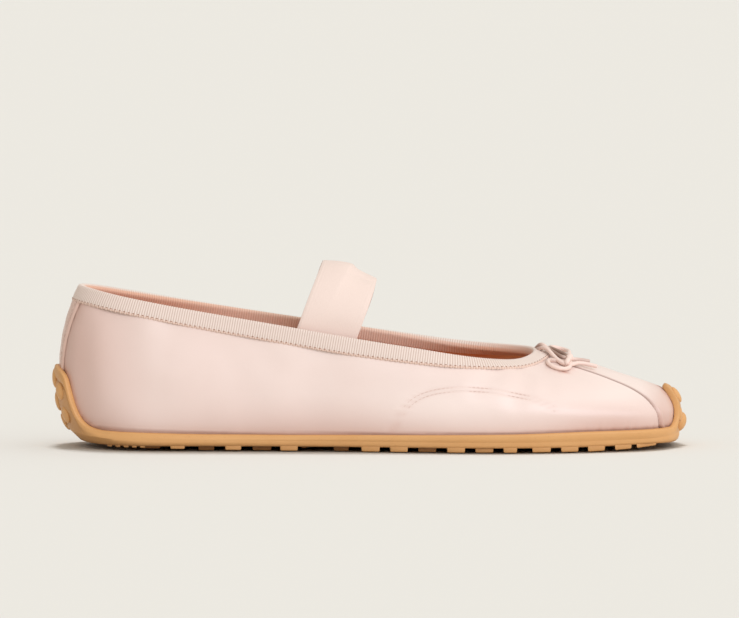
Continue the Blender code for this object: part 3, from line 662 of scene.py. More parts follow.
def cordRings(line):
    # rings round a cord, carried along it without turning, with its strands and its rounded ends
    radius, around = bow["diameter"] / 2, bow["around"]
    headings = unit(np.gradient(line, axis=0))
    side = unit(np.cross(headings[0], (0, 0, 1.0)))
    run = runAlong(line)
    fromEnd = np.clip(np.minimum(run, run[-1] - run) / (bow["endReach"] * radius), 0, 1)
    ends = np.sqrt(np.clip(1 - (1 - fromEnd) ** 2, 0.35, 1))
    angles = np.linspace(0, 2 * math.pi, around + 1)
    rings, uvs = [], []
    for spot, heading, gone, end in zip(line, headings, run, ends):
        side = unit(side - heading * (side @ heading))
        up = np.cross(side, heading)
        strands = np.abs(np.sin(1.5 * angles + math.pi * gone / bow["twistPitch"])) - 0.6
        size = end * (radius + bow["twistDepth"] * strands)[:, None]
        size[-1] = size[0]
        rings.append(spot + size * (np.cos(angles)[:, None] * side + np.sin(angles)[:, None] * up))
        uvs.append(np.stack([np.full(around + 1, gone), angles * bow["strandTurns"]], axis=-1))
    return np.array(rings), np.array(uvs)


def makeKnot():
    thick = bow["knotThickness"]
    bm = bmesh.new()
    for x, y, lean, reach in bow["wraps"]:
        first = len(bm.verts)
        start = Matrix.Translation((0, reach, 0))
        ring = bmesh.ops.create_circle(bm, segments=20, radius=thick / 2, matrix=start)["verts"]
        edges = list(dict.fromkeys(edge for vertex in ring for edge in vertex.link_edges))
        bmesh.ops.spin(bm, geom=ring + edges, cent=(0, 0, 0), axis=(1, 0, 0), angle=2 * math.pi,
                       steps=40, use_merge=True)
        place = onVamp(x, y)
        up = Vector(onFace(place)[1])
        heading = Matrix.Rotation(math.radians(lean), 3, up) @ Vector((1, 0, 0))
        heading = (heading - up * heading.dot(up)).normalized()
        side = up.cross(heading)
        centre = place + up * (thick / 2 + bow["knotLift"])
        turn = Matrix((heading * 1.1, side, up * 0.8)).transposed()
        moved = Matrix.Translation(centre * mm) @ (turn * mm).to_4x4()
        bm.verts.ensure_lookup_table()
        bmesh.ops.transform(bm, verts=bm.verts[first:], matrix=moved)
    bmesh.ops.recalc_face_normals(bm, faces=bm.faces)
    return addPiece("bowKnot", bm, cordSatin, ["bow"])


def makeBow():
    knot = makeKnot()
    for name, rows in bow["cords"].items():
        line = lineThrough([aboveVamp(*row) for row in rows], bow["step"])
        rings, uvs = cordRings(line)
        share = np.linspace(0, 1, len(line))
        shade = sum(depth / (1 + np.exp((np.abs(share - (start + end) / 2) - (end - start) / 2) / 0.02))
                    for start, end, depth in bow["dusk"][name])
        cord = addGrid(name, cordSatin, "cord", "bow", rings, uvs, {"shade": shade[:, None]})


makeBow()
print("bow made")

# the satin upper and its lining
heelStrip = {
    "thickness": 0.6, "edgeRise": 0.26, "edgeAt": 0.87, "under": 0.25, "seamAt": 0.72,
    # height and half width
    "widths": [(26, 8), (31, 8.2), (36.4, 8.6), (42.3, 9.4), (50.3, 11.4), (55.5, 12.6), (62, 13.8)],
    "bottom": 27, "top": 1.97,
    "stitch": {"pitch": 2.3, "length": 1.5, "width": 0.34, "lift": 0.06},
}
upper = {
    "skin": 0.85,  # the satin layer's share of the wall
    "between": 0.05,  # the room between satin and lining
    "spans": [(20, 1.1), (throat, 2.3), (halfLoop, 0.45)],
    "rowSpans": [(1.0, 0.077), (1.25, 0.025), (1.9, 0.0096), (2.0, 0.0125)],
    "liningSpans": [(20, 1.6), (throat, 2.6), (halfLoop, 1.8)], "liningLow": 0.3, "liningRows": 46,
    # distance back from the middle of the toe, and height on the wall
    "toeSeam": [
        (57.5, 1.86), (48, 1.792), (42.3, 1.747), (38.1, 1.707), (34.4, 1.661), (30.9, 1.603),
        (28.5, 1.524), (26.9, 1.429), (26, 1.3), (25, 1.156), (24.1, 0.898), (22.2, 0.377), (20.8, 0.1),
    ],
    "seamDepth": 0.6, "seamWidth": 0.5, "puff": 0.28, "fold": 0.4, "foldBelow": (24, -8),
    "sideArc": [
        (133.6, 0.397), (130.8, 0.913), (127.3, 1.122), (119.6, 1.325), (108.3, 1.439), (98, 1.474),
        (84.7, 1.429), (75.6, 1.35), (67.1, 1.166),
    ],
    "arcDepth": 0.16, "arcGap": 1.7, "arcRidge": 0.06, "arcShade": 0.10,
    # soft hollows: loop distance from the heel and height for each end, depth and width
    "hollows": [
        ((205, 1.78), (196, 1.25), 0.3, 3.4), ((192, 1.8), (181, 1.42), 0.26, 3),
        ((214, 1.8), (212, 1.45), 0.24, 2.6), ((168, 1.7), (158, 1.15), 0.18, 5.5),
        ((120, 1.75), (112, 1), 0.5, 8), ((92, 1.9), (98, 1.5), 0.35, 5),
        ((84, 1.6), (92, 0.9), 0.35, 7), ((34, 1.9), (50, 0.9), 0.55, 7.5),
        ((60, 1.95), (56, 1.4), 0.3, 5), ((22, 1.5), (24, 0.7), 0.3, 4),
    ],
    "gather": 0.09, "gatherReach": 2.2,
    "rimShades": [(0.22, 3.0), (0.12, 9.0)],  # depth, and how far above the rim it reaches
    # painted shade: depth, middle and reach along the shoe, then the height where it starts and its
    # build-up
    "shades": [(0.33, 96, 26, 21, -9), (0.07, -66, 34, 12, 12), (0.22, -25, 45, 23, -12)],
    "heelShade": (0.5, -84, -30, 1.2), "toeShade": (0.32, 107, 8), "stripShade": (0.35, 2.5),
    # painted highlights on the satin: at the toe and the waist, and the belly spot at the ball
    "gleams": [(0.6, 101, 17, 16, 7), (0.2, -27, 38, 12, 10)], "belly": (0.85, 28, 28, 18, 7),
    "underLoop": (76.2, -17.5, 2.3, 0.9, 0.8),  # the shadow under the near loop
    "throatLightRamp": (44, 14),  # where the lining is painted paler, as painted light inside the throat
}
rim = {
    "side": [
        (-122, 8.8), (-100, 7.9), (-66, 7.2), (-30, 7), (20, 7.4), (57, 7.9), (84, 8.6), (122, 9),
    ],
    # distance from the heel, and height
    "heelTab": [
        (0, 32.2), (4, 31.8), (8, 30.9), (11, 29.8), (13, 28.4), (14.5, 25.8), (15.6, 22.2),
        (16.7, 17.8), (18, 13.9), (19.6, 11.4), (21.6, 9.9), (24, 9), (28, 8.3),
    ],
    # rise, middle, half width and steepness, in front of the start
    "toeTab": (14.0, 2.0, 11.2, 5.0), "toeStart": 60,
}
heelRim, sideRim = np.array(rim["heelTab"]), np.array(rim["side"])
heelRimAt = spline(*heelRim.T)
stripWidths = np.array(heelStrip["widths"])


def rimZ(loop):
    # the height of the sole's upper edge
    x, y = np.moveaxis(sideAt(loop)[..., :2], -1, 0)
    z = np.interp(x, *sideRim.T)
    rise, middle, halfWidth, steep = rim["toeTab"]
    toeRise = rise * np.exp(-np.abs((y - middle) / halfWidth) ** steep)
    along, _ = alongOneSide(loop)
    end = heelRim[-1, 0]
    front = z + np.where(x > rim["toeStart"], toeRise, 0)
    return np.where(along < end, heelRimAt(np.minimum(along, end)), front)


def onBothSides(rows):
    # the same line on the outer and the inner side, as fine points of loop and height
    heightScale = (1, 30)  # a step of 1 in height is about 30 mm
    fromToe, heights = (lineThrough(np.array(rows) * heightScale, 0.6) / heightScale).T
    return [(halfLoop - fromToe, heights), (halfLoop + fromToe, heights)]


toeSeams, sideArcs = onBothSides(upper["toeSeam"]), onBothSides(upper["sideArc"])


def arcLines():
    # the doubled seam on each side of the vamp: its lines and their outward directions
    lines = []
    for loops, heights in sideArcs:
        line, normals = wallAt(loops, heights), wallNormal(loops, heights)
        across = unit(np.cross(np.gradient(line, axis=0), normals)) * (-1 if loops[0] > halfLoop else 1)
        lines += [(line + across * gap, normals) for gap in (0.0, upper["arcGap"])]
    return lines


def seamRelief(points, heights, normals, onPanel):
    # the toe seams: how deep they lie and how dark they are; the dark line is partly the seam and partly
    # painted shadow under the rolled edge
    seam = np.minimum(*[distanceTo(points, wallAt(*line)) for line in toeSeams])
    low = ramp(points[..., 2], *upper["foldBelow"])
    relief = upper["puff"] * bump(seam - 1.5, 1.0) - upper["seamDepth"] * bump(seam, upper["seamWidth"])
    relief += upper["fold"] * np.where(onPanel, low, 0) * bump(seam - 1.5, 0.8)
    upward = np.clip(normals[..., 2], 0, 1) ** 3
    return relief, (0.9 - 0.35 * low + 0.35 * upward) * bump(seam, 0.34 + 0.45 * upward)


def hollowRelief(points):
    relief = np.zeros(points.shape[:2])
    for start, end, depth, width in upper["hollows"]:
        ends = np.array([start, end])
        for loops in (ends[:, 0], 2 * halfLoop - ends[:, 0]):
            gone = distanceTo(points, wallAt(np.linspace(*loops, 8), np.linspace(*ends[:, 1], 8)))
            relief += 0.5 * depth * bump(gone - 1.9 * width, width) - depth * bump(gone, width)
    return relief


def shapeUpper(points, loops, heights, normals):
    # how far each point stands out from the wall, and the tones it carries: dark seam lines, painted
    # shade, painted shadow lines and painted highlights
    x, y, z = np.moveaxis(points, -1, 0)
    along, _ = alongOneSide(loops)
    widths, levels = np.array(upper["toeSeam"])[::-1].T
    onPanel = halfLoop - along < np.interp(heights, levels, widths)
    relief, line = seamRelief(points, heights, normals, onPanel)
    relief += hollowRelief(points)
    fromStrip = along - np.interp(z, *stripWidths.T)
    # a painted shadow line and painted shade beside the heel strip's edge
    line += np.where((x < -100) & (z > 26), 0.8 * bump(fromStrip - 0.5, 0.5), 0)
    depth, reach = upper["stripShade"]
    shade = np.where(x < -95, depth * fade(fromStrip, reach), 0)
    # each doubled seam sinks a little and carries painted shade along it
    for stitched, _ in arcLines():
        gone = distanceTo(points, stitched)
        relief += upper["arcRidge"] * bump(gone - 1.0, 0.5) - upper["arcDepth"] * bump(gone, 0.55)
        shade += upper["arcShade"] * bump(gone, 0.6)
    overRim = z - rimZ(loops)
    ripple = np.sin(loops * 1.25 + 1.3 * np.sin(loops * 0.31)) + 0.6 * np.sin(loops * 2.1 + 0.8)
    relief += upper["gather"] * ripple * fade(overRim, upper["gatherReach"])
    # painted shade above the rim, on the heel and on the front of the toe panel, and a painted shadow
    # under the near loop
    shade += sum(depth * fade(overRim, reach) for depth, reach in upper["rimShades"])
    depth, start, run, power = upper["heelShade"]
    shade += depth * ramp(x, start, run) ** power
    depth, start, run = upper["toeShade"]
    shade += depth * np.where(onPanel, ramp(x, start, run), 0)
    middleX, middleY, long, wide, depth = upper["underLoop"]
    shade += depth * bump(np.hypot((x - middleX) / long, (y - middleY) / wide), 1.0)
    # a painted shadow line where the satin meets the rubber rim
    line += 0.55 * bump(overRim - 0.1, 0.5)
    # painted highlights
    depth, middleX, long, middleZ, high = upper["belly"]
    gleam = depth * bump(x - middleX, long) * bump(z - middleZ, high)
    for tone, spots in ((shade, upper["shades"]), (gleam, upper["gleams"])):
        for depth, middle, reach, start, run in spots:
            tone += depth * bump(x - middle, reach) * ramp(z, start, run)
    tones = {"shade": shade, "line": line, "gleam": gleam}
    return relief, {name: np.clip(tone, 0, 1) for name, tone in tones.items()}


def closeThroat(points, loops):
    # past the throat the two sides meet along the ridge
    past = alongOneSide(loops[-1])[0] >= throat - 1e-6
    points[-1] = np.where(past[:, None], (points[-1] + points[-1, ::-1]) / 2, points[-1])


def makeUpper():
    alongs = thereAndBack(placesAlong(upper["spans"]))
    loops, heights = np.meshgrid(alongs, placesAlong(upper["rowSpans"]))
    print("upper grid", loops.shape)
    points, normals = wallAt(loops, heights), wallNormal(loops, heights)
    relief, tones = shapeUpper(points, loops, heights, normals)
    points = points + relief[..., None] * normals
    closeThroat(points, loops)
    points[:, 0] = points[:, -1] = (points[:, 0] + points[:, -1]) / 2
    bm = gridMesh(points, np.stack([loops, gridRun(points, 0)], axis=-1), tones, 3e-6, False)
    addPiece("satinUpper", bm, blushSatin, ["upper"], 70, upper["skin"])

    alongs = thereAndBack(placesAlong(upper["liningSpans"]))
    loops, heights = np.meshgrid(alongs, np.linspace(upper["liningLow"], 2, upper["liningRows"]))
    points = offWall(loops, heights, -upper["skin"] - upper["between"])
    closeThroat(points, loops)
    # painted light: the lining is painted paler towards the throat
    throatLight = ramp(points[..., 0], *upper["throatLightRamp"])
    bm = gridMesh(points, np.stack([loops, heights * 30], axis=-1), {"throatLight": throatLight}, 3e-6, False)
    thickness = last["wall"] - upper["skin"] - 2 * upper["between"]
    addPiece("leatherLining", bm, peachLining, ["upper"], 70, thickness)


makeUpper()
print("upper made")

# the heel strip and its two rows of stitches
def makeHeelStrip():
    across = crossing(41)
    thick, seamAt = heelStrip["thickness"], heelStrip["seamAt"]
    bottom = heightWhere(0.0, heelStrip["bottom"])
    rows, stitchLines = [], [[], []]
    for share in np.linspace(0, 1, 64):
        height = bottom + (heelStrip["top"] - bottom) * share
        half = np.interp(wallAt(0.0, height)[2], *stripWidths.T)
        wall, normal = wallAt(across * half, height), wallNormal(across * half, height)
        rise = thick * np.sqrt(1 - across**8) + heelStrip["edgeRise"] * bump(
            np.abs(across) - heelStrip["edgeAt"], 0.07
        )
        rise += 0.05 * np.sin(share * 31 + across * 4)
        top = wall + rise[:, None] * normal
        rows.append(np.vstack([top, (wall - heelStrip["under"] * normal)[::-1], top[:1]]))
        for line, edge in zip(stitchLines, (-seamAt, seamAt)):
            line.append((offWall(edge * half, height, thick), wallNormal(edge * half, height)))
    rows = np.array(rows)
    # painted shade along the stitch lines and over the underside
    shade = np.concatenate([0.35 * bump(np.abs(across) - seamAt, 0.08), np.full(42, 0.5)])
    uvs = np.stack([gridRun(rows, 0), gridRun(rows, 1)], axis=-1)
    addGrid("heelStrip", stripSatin, "satin", "upper", rows, uvs, {"shade": shade[None]})
    stitchLines = [np.array(line).swapaxes(0, 1) for line in stitchLines]
    addStitches("heelStitches", stitchLines, heelStrip["stitch"], blushThread)


makeHeelStrip()
print("heel strip made")

# the ribbed binding
binding = {
    "gap": 0.12, "thickness": 0.85, "outside": 6.3, "inside": 4.2,
    # share of the way down and of the thickness, for each point of the section
    "outerPoints": [(1, 0.35), (0.985, 0.8), (0.94, 1), (0.85, 1), (0.75, 1), (0.64, 1), (0.52, 1),
                    (0.4, 1), (0.28, 1), (0.16, 1), (0.06, 1)],
    "foldAngles": (18, 42, 66, 90, 114, 138, 162),
    "innerPoints": [(0.1, 1), (0.3, 1), (0.5, 1), (0.7, 1), (0.88, 1), (0.97, 0.8), (1, 0.3)],
    "ribPitch": 0.96, "ribSteps": 6, "ribDepth": 0.17, "scallop": 0.13, "pull": 0.14,
    "stitch": {"pitch": 1.92, "length": 0.95, "width": 0.34, "lift": 0.06},
    "stitchLevel": 5.5,
}
foldEnd = len(binding["outerPoints"]) + 4  # the inside starts in the middle of the fold


def bindingSection(place):
    # one section round the collar edge, from its outer lower edge over the fold and back underneath
    edge = collarAt(place)
    run = unit(collarAt(place + 0.5) - collarAt(place - 0.5))
    normal = onFace(edge)[1]
    down = unit(np.cross(run, normal))
    wall, gap, thick = last["wall"], binding["gap"], binding["thickness"]
    section = []
    for share, part in binding["outerPoints"]:
        spot, out = onFace(edge + down * binding["outside"] * share)
        section.append(spot + (gap + part * thick) * out)
    for angle in np.radians(binding["foldAngles"]):
        reach = 0.5 * wall + gap + thick
        section.append(edge + normal * (reach * math.cos(angle) - 0.5 * wall)
                       - down * (gap + thick) * math.sin(angle))
    for share, part in binding["innerPoints"]:
        section.append(edge - normal * (wall + gap + part * thick) + down * binding["inside"] * share)
    shown = len(section)
    for level in (binding["inside"], 1.5, -gap):
        section.append(edge - normal * (wall + gap) + down * level)
    section.append(edge + normal * gap - down * gap)
    for level in (1.6, 3.4, binding["outside"]):
        spot, out = onFace(edge + down * level)
        section.append(spot + gap * out)
    return np.array(section + section[:1]), normal, shown


def bindingTones(points, toThroat, faint, shown):
    shade = np.zeros(points.shape[:2])
    # painted shade on the inner face, deeper some way back from the throat and at the heel, on the fold
    # near the throat and along the lower edge
    depth = 0.35 + 0.32 * bump(toThroat - 28, 20) + 0.22 * ramp(points[:, 5, 0], -30, -50)
    shade[:, foldEnd:shown] = depth[:, None]
    shade[:, foldEnd - 2:foldEnd] = (depth * (1 - ramp(toThroat, 0, 45)))[:, None]
    shade[:, 0:3] += 0.25
    return {"shade": np.clip(shade, 0, 1), "ribs": np.clip(1.25 * faint - 0.25, 0, 1)[:, None]}


def makeBinding():
    knots = np.linspace(0, 2 * throat, 141)
    sections = [bindingSection(place) for place in knots]
    rows = np.array([section for section, _, _ in sections])
    rows[-1] = rows[0]
    sectionAt = spline(knots, rows, True)
    shown = sections[0][2]
    fine = np.linspace(0, 2 * throat, 4001)
    gone = runAlong(collarAt(fine))
    ribs = round(gone[-1] / binding["ribPitch"])
    counts = np.arange(ribs * binding["ribSteps"] + 1) / binding["ribSteps"]
    places = np.interp(counts / ribs * gone[-1], gone, fine)
    places[-1] = 2 * throat
    base = sectionAt(places)
    points = base.copy()
    points[-1] = points[0]
    normals = gridNormals(points)
    if (normals[0, 5] * sections[0][1]).sum() < 0:
        normals = -normals
    toThroat = np.abs(places - throat)
    faint = 0.35 + 0.65 * ramp(toThroat, 6, 30)
    wave = np.sqrt(0.5 + 0.5 * np.cos(2 * math.pi * counts))
    weight, pull = np.zeros(points.shape[1]), np.zeros(points.shape[1])
    weight[:shown] = 1.0
    weight[[0, shown - 1]] = 0.3
    shares = np.array(binding["outerPoints"])[:, 0]
    pull[1:5] = bump(shares[1:5] - shares[3], 0.09) * binding["pull"]
    lift = binding["ribDepth"] * (wave - 1)[:, None] * faint[:, None] * weight - pull
    points = points + lift[..., None] * normals
    down = unit(points[:, 1] - points[:, 3])
    scallop = binding["scallop"] * np.cos(math.pi * counts) * faint
    for index, share in ((0, 1.0), (1, 1.0), (2, 0.6), (-1, 1.0), (-2, 1.0)):
        points[:, index] += share * scallop[:, None] * down
    width = gridRun(points[:1], 1)
    uvs = np.stack(np.broadcast_arrays(counts[:, None], width), axis=-1)
    tones = bindingTones(points, toThroat, faint, shown)
    addGrid("ribbedBinding", blushRibbon, "ribbon", "binding", points, uvs, tones, 80)
    level = binding["stitchLevel"] / binding["outside"]
    share = (shares[2] - level) / (shares[2] - shares[3])
    seam = base[:, 2] + (base[:, 3] - base[:, 2]) * share
    out = normals[::3, 3]
    lines = [(seam[::3] - 0.1 * out, out)]
    addStitches("bindingStitches", lines, binding["stitch"], deepThread)


makeBinding()
print("binding made")

# the elastic strap
strap = {
    "thickness": 1.2, "ribPitch": 1.15, "ribDepth": 0.05, "steps": 241, "columns": 61,
    # y, back x, back z, front x, front z
    "rows": [
        (-23.8, -31.8, 39.5, -8, 35.8), (-24.2, -28.4, 48.8, -4.7, 45), (-21.6, -24, 60.5, -0.9, 55.2),
        (-12.6, -20.2, 69.6, 1.9, 63), (-0.8, -18.6, 73, 2.8, 65.6), (11, -19.7, 69.6, 2.4, 63),
        (19.8, -22.7, 60.5, 0.4, 55.2), (22.2, -27, 49.2, -3.3, 45.6), (21.7, -30.6, 39.8, -6.8, 36.4),
    ],
    "top": 4,  # the row at the top of the arch
    "crown": 2.2, "crownReach": 1.5, "crease": 0.52, "creaseRun": 0.07,
    # place along, place across from -1 back to 1 front, depth, width along, width across
    "dents": [
        (3.35, 0.45, 0.55, 0.22, 0.7), (4.5, -0.3, 0.3, 0.3, 0.9), (1.2, 0.2, 0.25, 0.3, 0.8),
        (6.9, -0.2, 0.25, 0.3, 0.8),
    ],
    "stitch": {"pitch": 2.0, "length": 1.4, "width": 0.36, "lift": 0.1}, "stitchRows": (8, 14, 232, 226),
}


def makeStrap():
    steps, columns = strap["steps"], strap["columns"]
    places = np.linspace(0, len(strap["rows"]) - 1, steps)
    across = crossing(columns)
    y, backX, backZ, frontX, frontZ = spline(np.arange(len(strap["rows"])), strap["rows"])(places).T
    back, front = np.stack([backX, y, backZ], axis=-1), np.stack([frontX, y, frontZ], axis=-1)
    share = (across + 1) / 2
    middle = back[:, None] + (front - back)[:, None] * share[None, :, None]
    normals = gridNormals(middle)
    if normals[steps // 2, columns // 2, 2] < 0:
        normals = -normals
    width = np.linalg.norm(front - back, axis=1)[:, None] * share[None]
    wave = strap["ribDepth"] * np.cos(2 * math.pi * width / strap["ribPitch"])
    dent = np.zeros(width.shape)
    for at, side, depth, long, wide in strap["dents"]:
        dent -= depth * bump(places[:, None] - at, long) * bump(across[None] - side, wide)
    # the band is crowned over the instep and creased where it turns forward
    crease = strap["crease"] - strap["creaseRun"] * np.maximum(strap["top"] - places, 0)[:, None]
    behind, ahead = np.clip(share[None] / crease, 0, 1), ramp(share[None], crease, 1 - crease)
    crown = np.where(share[None] < crease, np.sin(behind * 0.5 * math.pi) ** 1.3,
                     0.55 * (1 - ahead) ** 1.5 + 0.45 * np.exp(-ahead / 0.12))
    crown = strap["crown"] * bump(places[:, None] - strap["top"], strap["crownReach"]) * crown
    middle = middle + crown[..., None] * normals
    normals = gridNormals(middle) * (1 if (gridNormals(middle) * normals).sum() > 0 else -1)
    body = strap["thickness"] / 2 * (1 - np.abs(across) ** 14) ** 0.5
    body = body + wave * (body > 0.3)
    top = middle + (body + dent)[..., None] * normals
    under = middle - (body - dent)[..., None] * normals
    rings = np.concatenate([top, under[:, -2::-1]], axis=1)
    gone = runAlong(middle[:, columns // 2])
    width = np.concatenate([width, width[:, -2::-1]], axis=1)
    uvs = np.stack(np.broadcast_arrays(gone[:, None], width), axis=-1)
    addGrid("elasticStrap", paleElastic, "elastic", "strap", rings, uvs)
    stitched = (middle - strap["thickness"] / 2 * normals)[:, 4:57]
    lines = [(stitched[row], -normals[row, 4:57]) for row in strap["stitchRows"]]
    addStitches("strapStitches", lines, strap["stitch"], blushThread)


makeStrap()
print("strap made")

# the insole
insole = {
    "thickness": 3.2, "inset": 2.1, "spans": [(24, 1.0), (240, 2.2), (halfLoop, 0.9)],
    # x, how far across from the middle, depth, length and width; the last is the rise of the arch
    "hollows": [(-84, 0, 0.9, 20, 0.6), (46, -0.1, 0.7, 24, 0.7), (98, 0, 0.4, 14, 0.6),
                (-20, 0.75, -0.9, 34, 0.45)],
    "edge": 0.12, "least": 0.06, "off": 0.05,
}


def makeInsole():
    alongs = placesAlong(insole["spans"])
    across = crossing(61)
    one, other = feather(alongs, -insole["inset"]), feather(2 * halfLoop - alongs, -insole["inset"])
    flat = one[:, None] + (other - one)[:, None] * ((across + 1) / 2)[None, :, None]
    shape = (1 - np.abs(across) ** 10) ** 0.5
    thick = insole["thickness"] * np.clip(np.linalg.norm(other - one, axis=1) / 12, 0, 1) ** 0.5
    rise = thick[:, None] * (insole["edge"] + (1 - insole["edge"]) * shape[None])
    for x, middle, depth, long, wide in insole["hollows"]:
        rise -= depth * bump(flat[..., 0] - x, long) * bump(across[None] - middle, wide) * shape[None]
    top, under = flat.copy(), flat.copy()
    top[..., 2] += np.maximum(rise, insole["least"])
    under[..., 2] += insole["off"]
    top[:, [0, -1]] = under[:, [0, -1]]
    rings = np.concatenate([top, under[:, -2::-1]], axis=1)
    flat = rings[..., :2]
    piece = addGrid("paddedInsole", sockLeather, "lining_leather", "insole", rings, flat, weld=2e-6)


makeInsole()
print("insole made")

# the rubber sole
sole = {
    "spans": [(28, 0.42), (236, 2.2), (halfLoop, 0.6)],
    "gap": 0.12, "shell": 2.2, "topRound": 0.5, "flare": 9.0,
    # edge_out, edge_z, tread_out, tread_z at each station
    "rows": [
        (5.4, 7.4, 0.4, 2.6), (5.2, 6, 1, 2.2), (4.2, 4.4, 1.8, 2), (3.8, 4.2, 2, 2), (3.5, 4.2, 2, 2),
        (3.2, 4.2, 1.8, 2), (2.9, 4.2, 1.5, 2), (2.7, 4.2, 1.3, 2), (2.7, 4.2, 1.3, 2),
        (2.8, 4.2, 1.3, 2), (2.9, 4.3, 1.3, 2.1), (2.9, 4.5, 1.2, 2.3), (3, 4.6, 1, 2.5),
        (3.8, 5.2, 1.4, 2.1), (4.3, 6.2, 1.4, 1.9),
    ],
    "cornerFrom": 3.2, "cornerRun": 1.6,  # how far out an edge stands before its corner is round
    "cornerShares": (0.3, 0.55, 0.75, 0.9, 1.0), "cornerShades": (0, 0.02, 0.1, 0.24, 0.35),
    "tabFrom": 11, "tabRun": 4,  # the height where the rim starts to be a tab
    "border": 0.42, "borderAt": 2.1, "borderWidth": 1.6, "groove": 2.7, "grooveDepth": 0.4,
    "belly": 0.22, "platform": (-3.0, -0.3),
    "toeSpring": {"start": 84.0, "slope": 0.02, "curve": 0.0012},
    "heelRound": {"start": -105.0, "radius": 22.0},
    # x, length, how far in from the edge, how far off the ground, and how far across
    "lugs": [
        (-75.6, 6, 0, 1, 15), (-53.7, 6.6, 0, 0.6, 15), (-31.8, 7.2, 0, 0.4, 15),
        (-86, 7.6, 3.4, 0.9, 11), (-64.3, 6.6, 3.4, 0.2, 11), (-42.4, 7.8, 3.4, 0.2, 11),
        (-11.2, 6.2, 3.4, 0.2, 11), (0.3, 7.5, 0, 0.3, 15), (11.45, 7.2, 0, 0.3, 15),
        (22.6, 7.4, 2.6, 0.2, 12.4), (33.9, 7.3, 0, 0.3, 15), (45, 7.4, 0.9, 0.3, 14),
        (55.2, 5.6, 0, 0.3, 15), (67.5, 7.6, 0, 0.4, 15), (78.6, 7.1, 0, 0.4, 15), (89.1, 7, 0, 0.3, 14),
        (99.7, 6.8, 0, 0.2, 12), (108.9, 8, 0, 0.2, 9),
    ],
    "comb": {"first": -102.4, "count": 5, "pitch": 3.25, "length": 2.3, "inset": 0.3, "lift": 1.35,
             "reach": 5.0, "round": 0.2},
    "lugRound": 0.45, "padRound": 0.5, "padDepth": 2.9,
    "pads": [(-88, -0.5, 10.5), (17, -2, 7.5), (46, 0, 13), (74, 1, 8.5)],
    # across, z, radius, proud
    "heelPebbles": [
        (0, 26.8, 4.1, 1.2), (0, 17.9, 3.9, 1.1), (0, 10.2, 3.6, 0.8), (-8.6, 22.4, 3.5, 1.3),
        (8.6, 22.4, 3.5, 1.3), (-9, 13.4, 3.5, 0.8), (9, 13.4, 3.5, 0.8),
    ],
    "toePebbles": [
        (0, 18.8, 3.5, 1.2), (0, 9.8, 4, 2.5), (-6.4, 12.4, 2.4, 0.6), (6.4, 12.4, 2.4, 0.6),
    ],
    "studPitch": 6.4, "studRadius": 1.9, "studDepth": 0.9, "studWidest": 42,
    # how far studs stay from the edge: behind the waist, and elsewhere or beside a lug
    "studEdge": (4.5, 17.6), "studWaist": -5, "studByLug": 2.4, "studByPad": 2.6,
}
soleAt = spline(loopKnots, bothSides(sole["rows"]), True)


def cornerRound(edgeOut):
    return 1 - ramp(edgeOut, sole["cornerFrom"], sole["cornerRun"])


def soleProfile(loop):
    # half a section, from the platform over the rim to the tread, with its shade
    edgeOut, edgeZ, treadOut, treadZ = soleAt(loop)
    gap, shell, topRound = sole["gap"], sole["shell"], sole["topRound"]
    full, topHeight = heightWhere(loop, rimZ(loop)), heightWhere(loop, rimZ(loop) - topRound)
    heights = np.linspace(0, topHeight, 9)
    inside = offWall(loop, heights, gap)
    spot, out = wallAt(loop, topHeight), wallNormal(loop, topHeight)
    rise = wallAt(loop, min(full + 0.01, 1.95)) - spot
    rise /= max(np.linalg.norm(rise), 1e-9)
    half = (shell - gap) / 2
    lip = [spot + out * (gap + half - half * math.cos(angle)) + rise * topRound * math.sin(angle)
           for angle in np.radians((30, 60, 90, 120, 150))]
    steps = np.linspace(0, topHeight, 60)
    cover = offWall(loop, steps, shell)
    edge = feather(loop, edgeOut)
    edge[2] = edgeZ
    outside = []
    for gone in np.linspace(0, 1, 27)[:-1] ** 1.35:
        straight = edge + (cover[-1] - edge) * (1 - gone)
        curved = np.array([np.interp(straight[2], cover[:, 2], column) for column in cover.T])
        outside.append(straight + (curved - straight) * ramp(straight[2], edgeZ, sole["flare"]))
    outside = np.array(outside)
    run = runAlong(outside)
    inGroove = run - sole["borderAt"] - sole["groove"]
    tab = ramp(rimZ(loop), sole["tabFrom"], sole["tabRun"])
    ridge = sole["border"] * bump(run - sole["borderAt"], sole["borderWidth"])
    ridge -= sole["grooveDepth"] * bump(inGroove, 0.8)
    outside += (tab * ridge)[:, None] * out
    belly = sole["belly"] * np.sin(np.clip(run / max(run[-1], 1e-9), 0, 1) * math.pi) * (1 - tab)
    outside += belly[:, None] * outlineNormal(loop)
    tread = feather(loop, treadOut)
    tread[2] = treadZ
    corner = 1.0 if throat < loop < 2 * halfLoop - throat else cornerRound(edgeOut)
    lower = [edge]
    for share in sole["cornerShares"]:
        away, fall = share ** (1 + 2 * corner), 1 - (1 - share) ** (1 + 0.7 * corner)
        spot = edge + (tread - edge) * away
        spot[2] = edge[2] + (tread[2] - edge[2]) * fall
        lower.append(spot)
    points = np.vstack([feather(loop, *sole["platform"]), inside, lip, outside, lower])
    # painted shade: on the platform and the inside face, over the tabs and deepest in the groove and
    # recess inside their border, and under the lower corner
    shade = np.zeros(len(points))
    shade[:10] = 0.4
    first = 10 + len(lip)
    grooveShade = np.maximum(0.65 * bump(inGroove, 0.9), 0.3 * np.clip(inGroove / 2, 0, 1))
    shade[first:first + 26] = tab * np.maximum(0.14, grooveShade)
    shade[-5:] = sole["cornerShades"]
    return points, shade


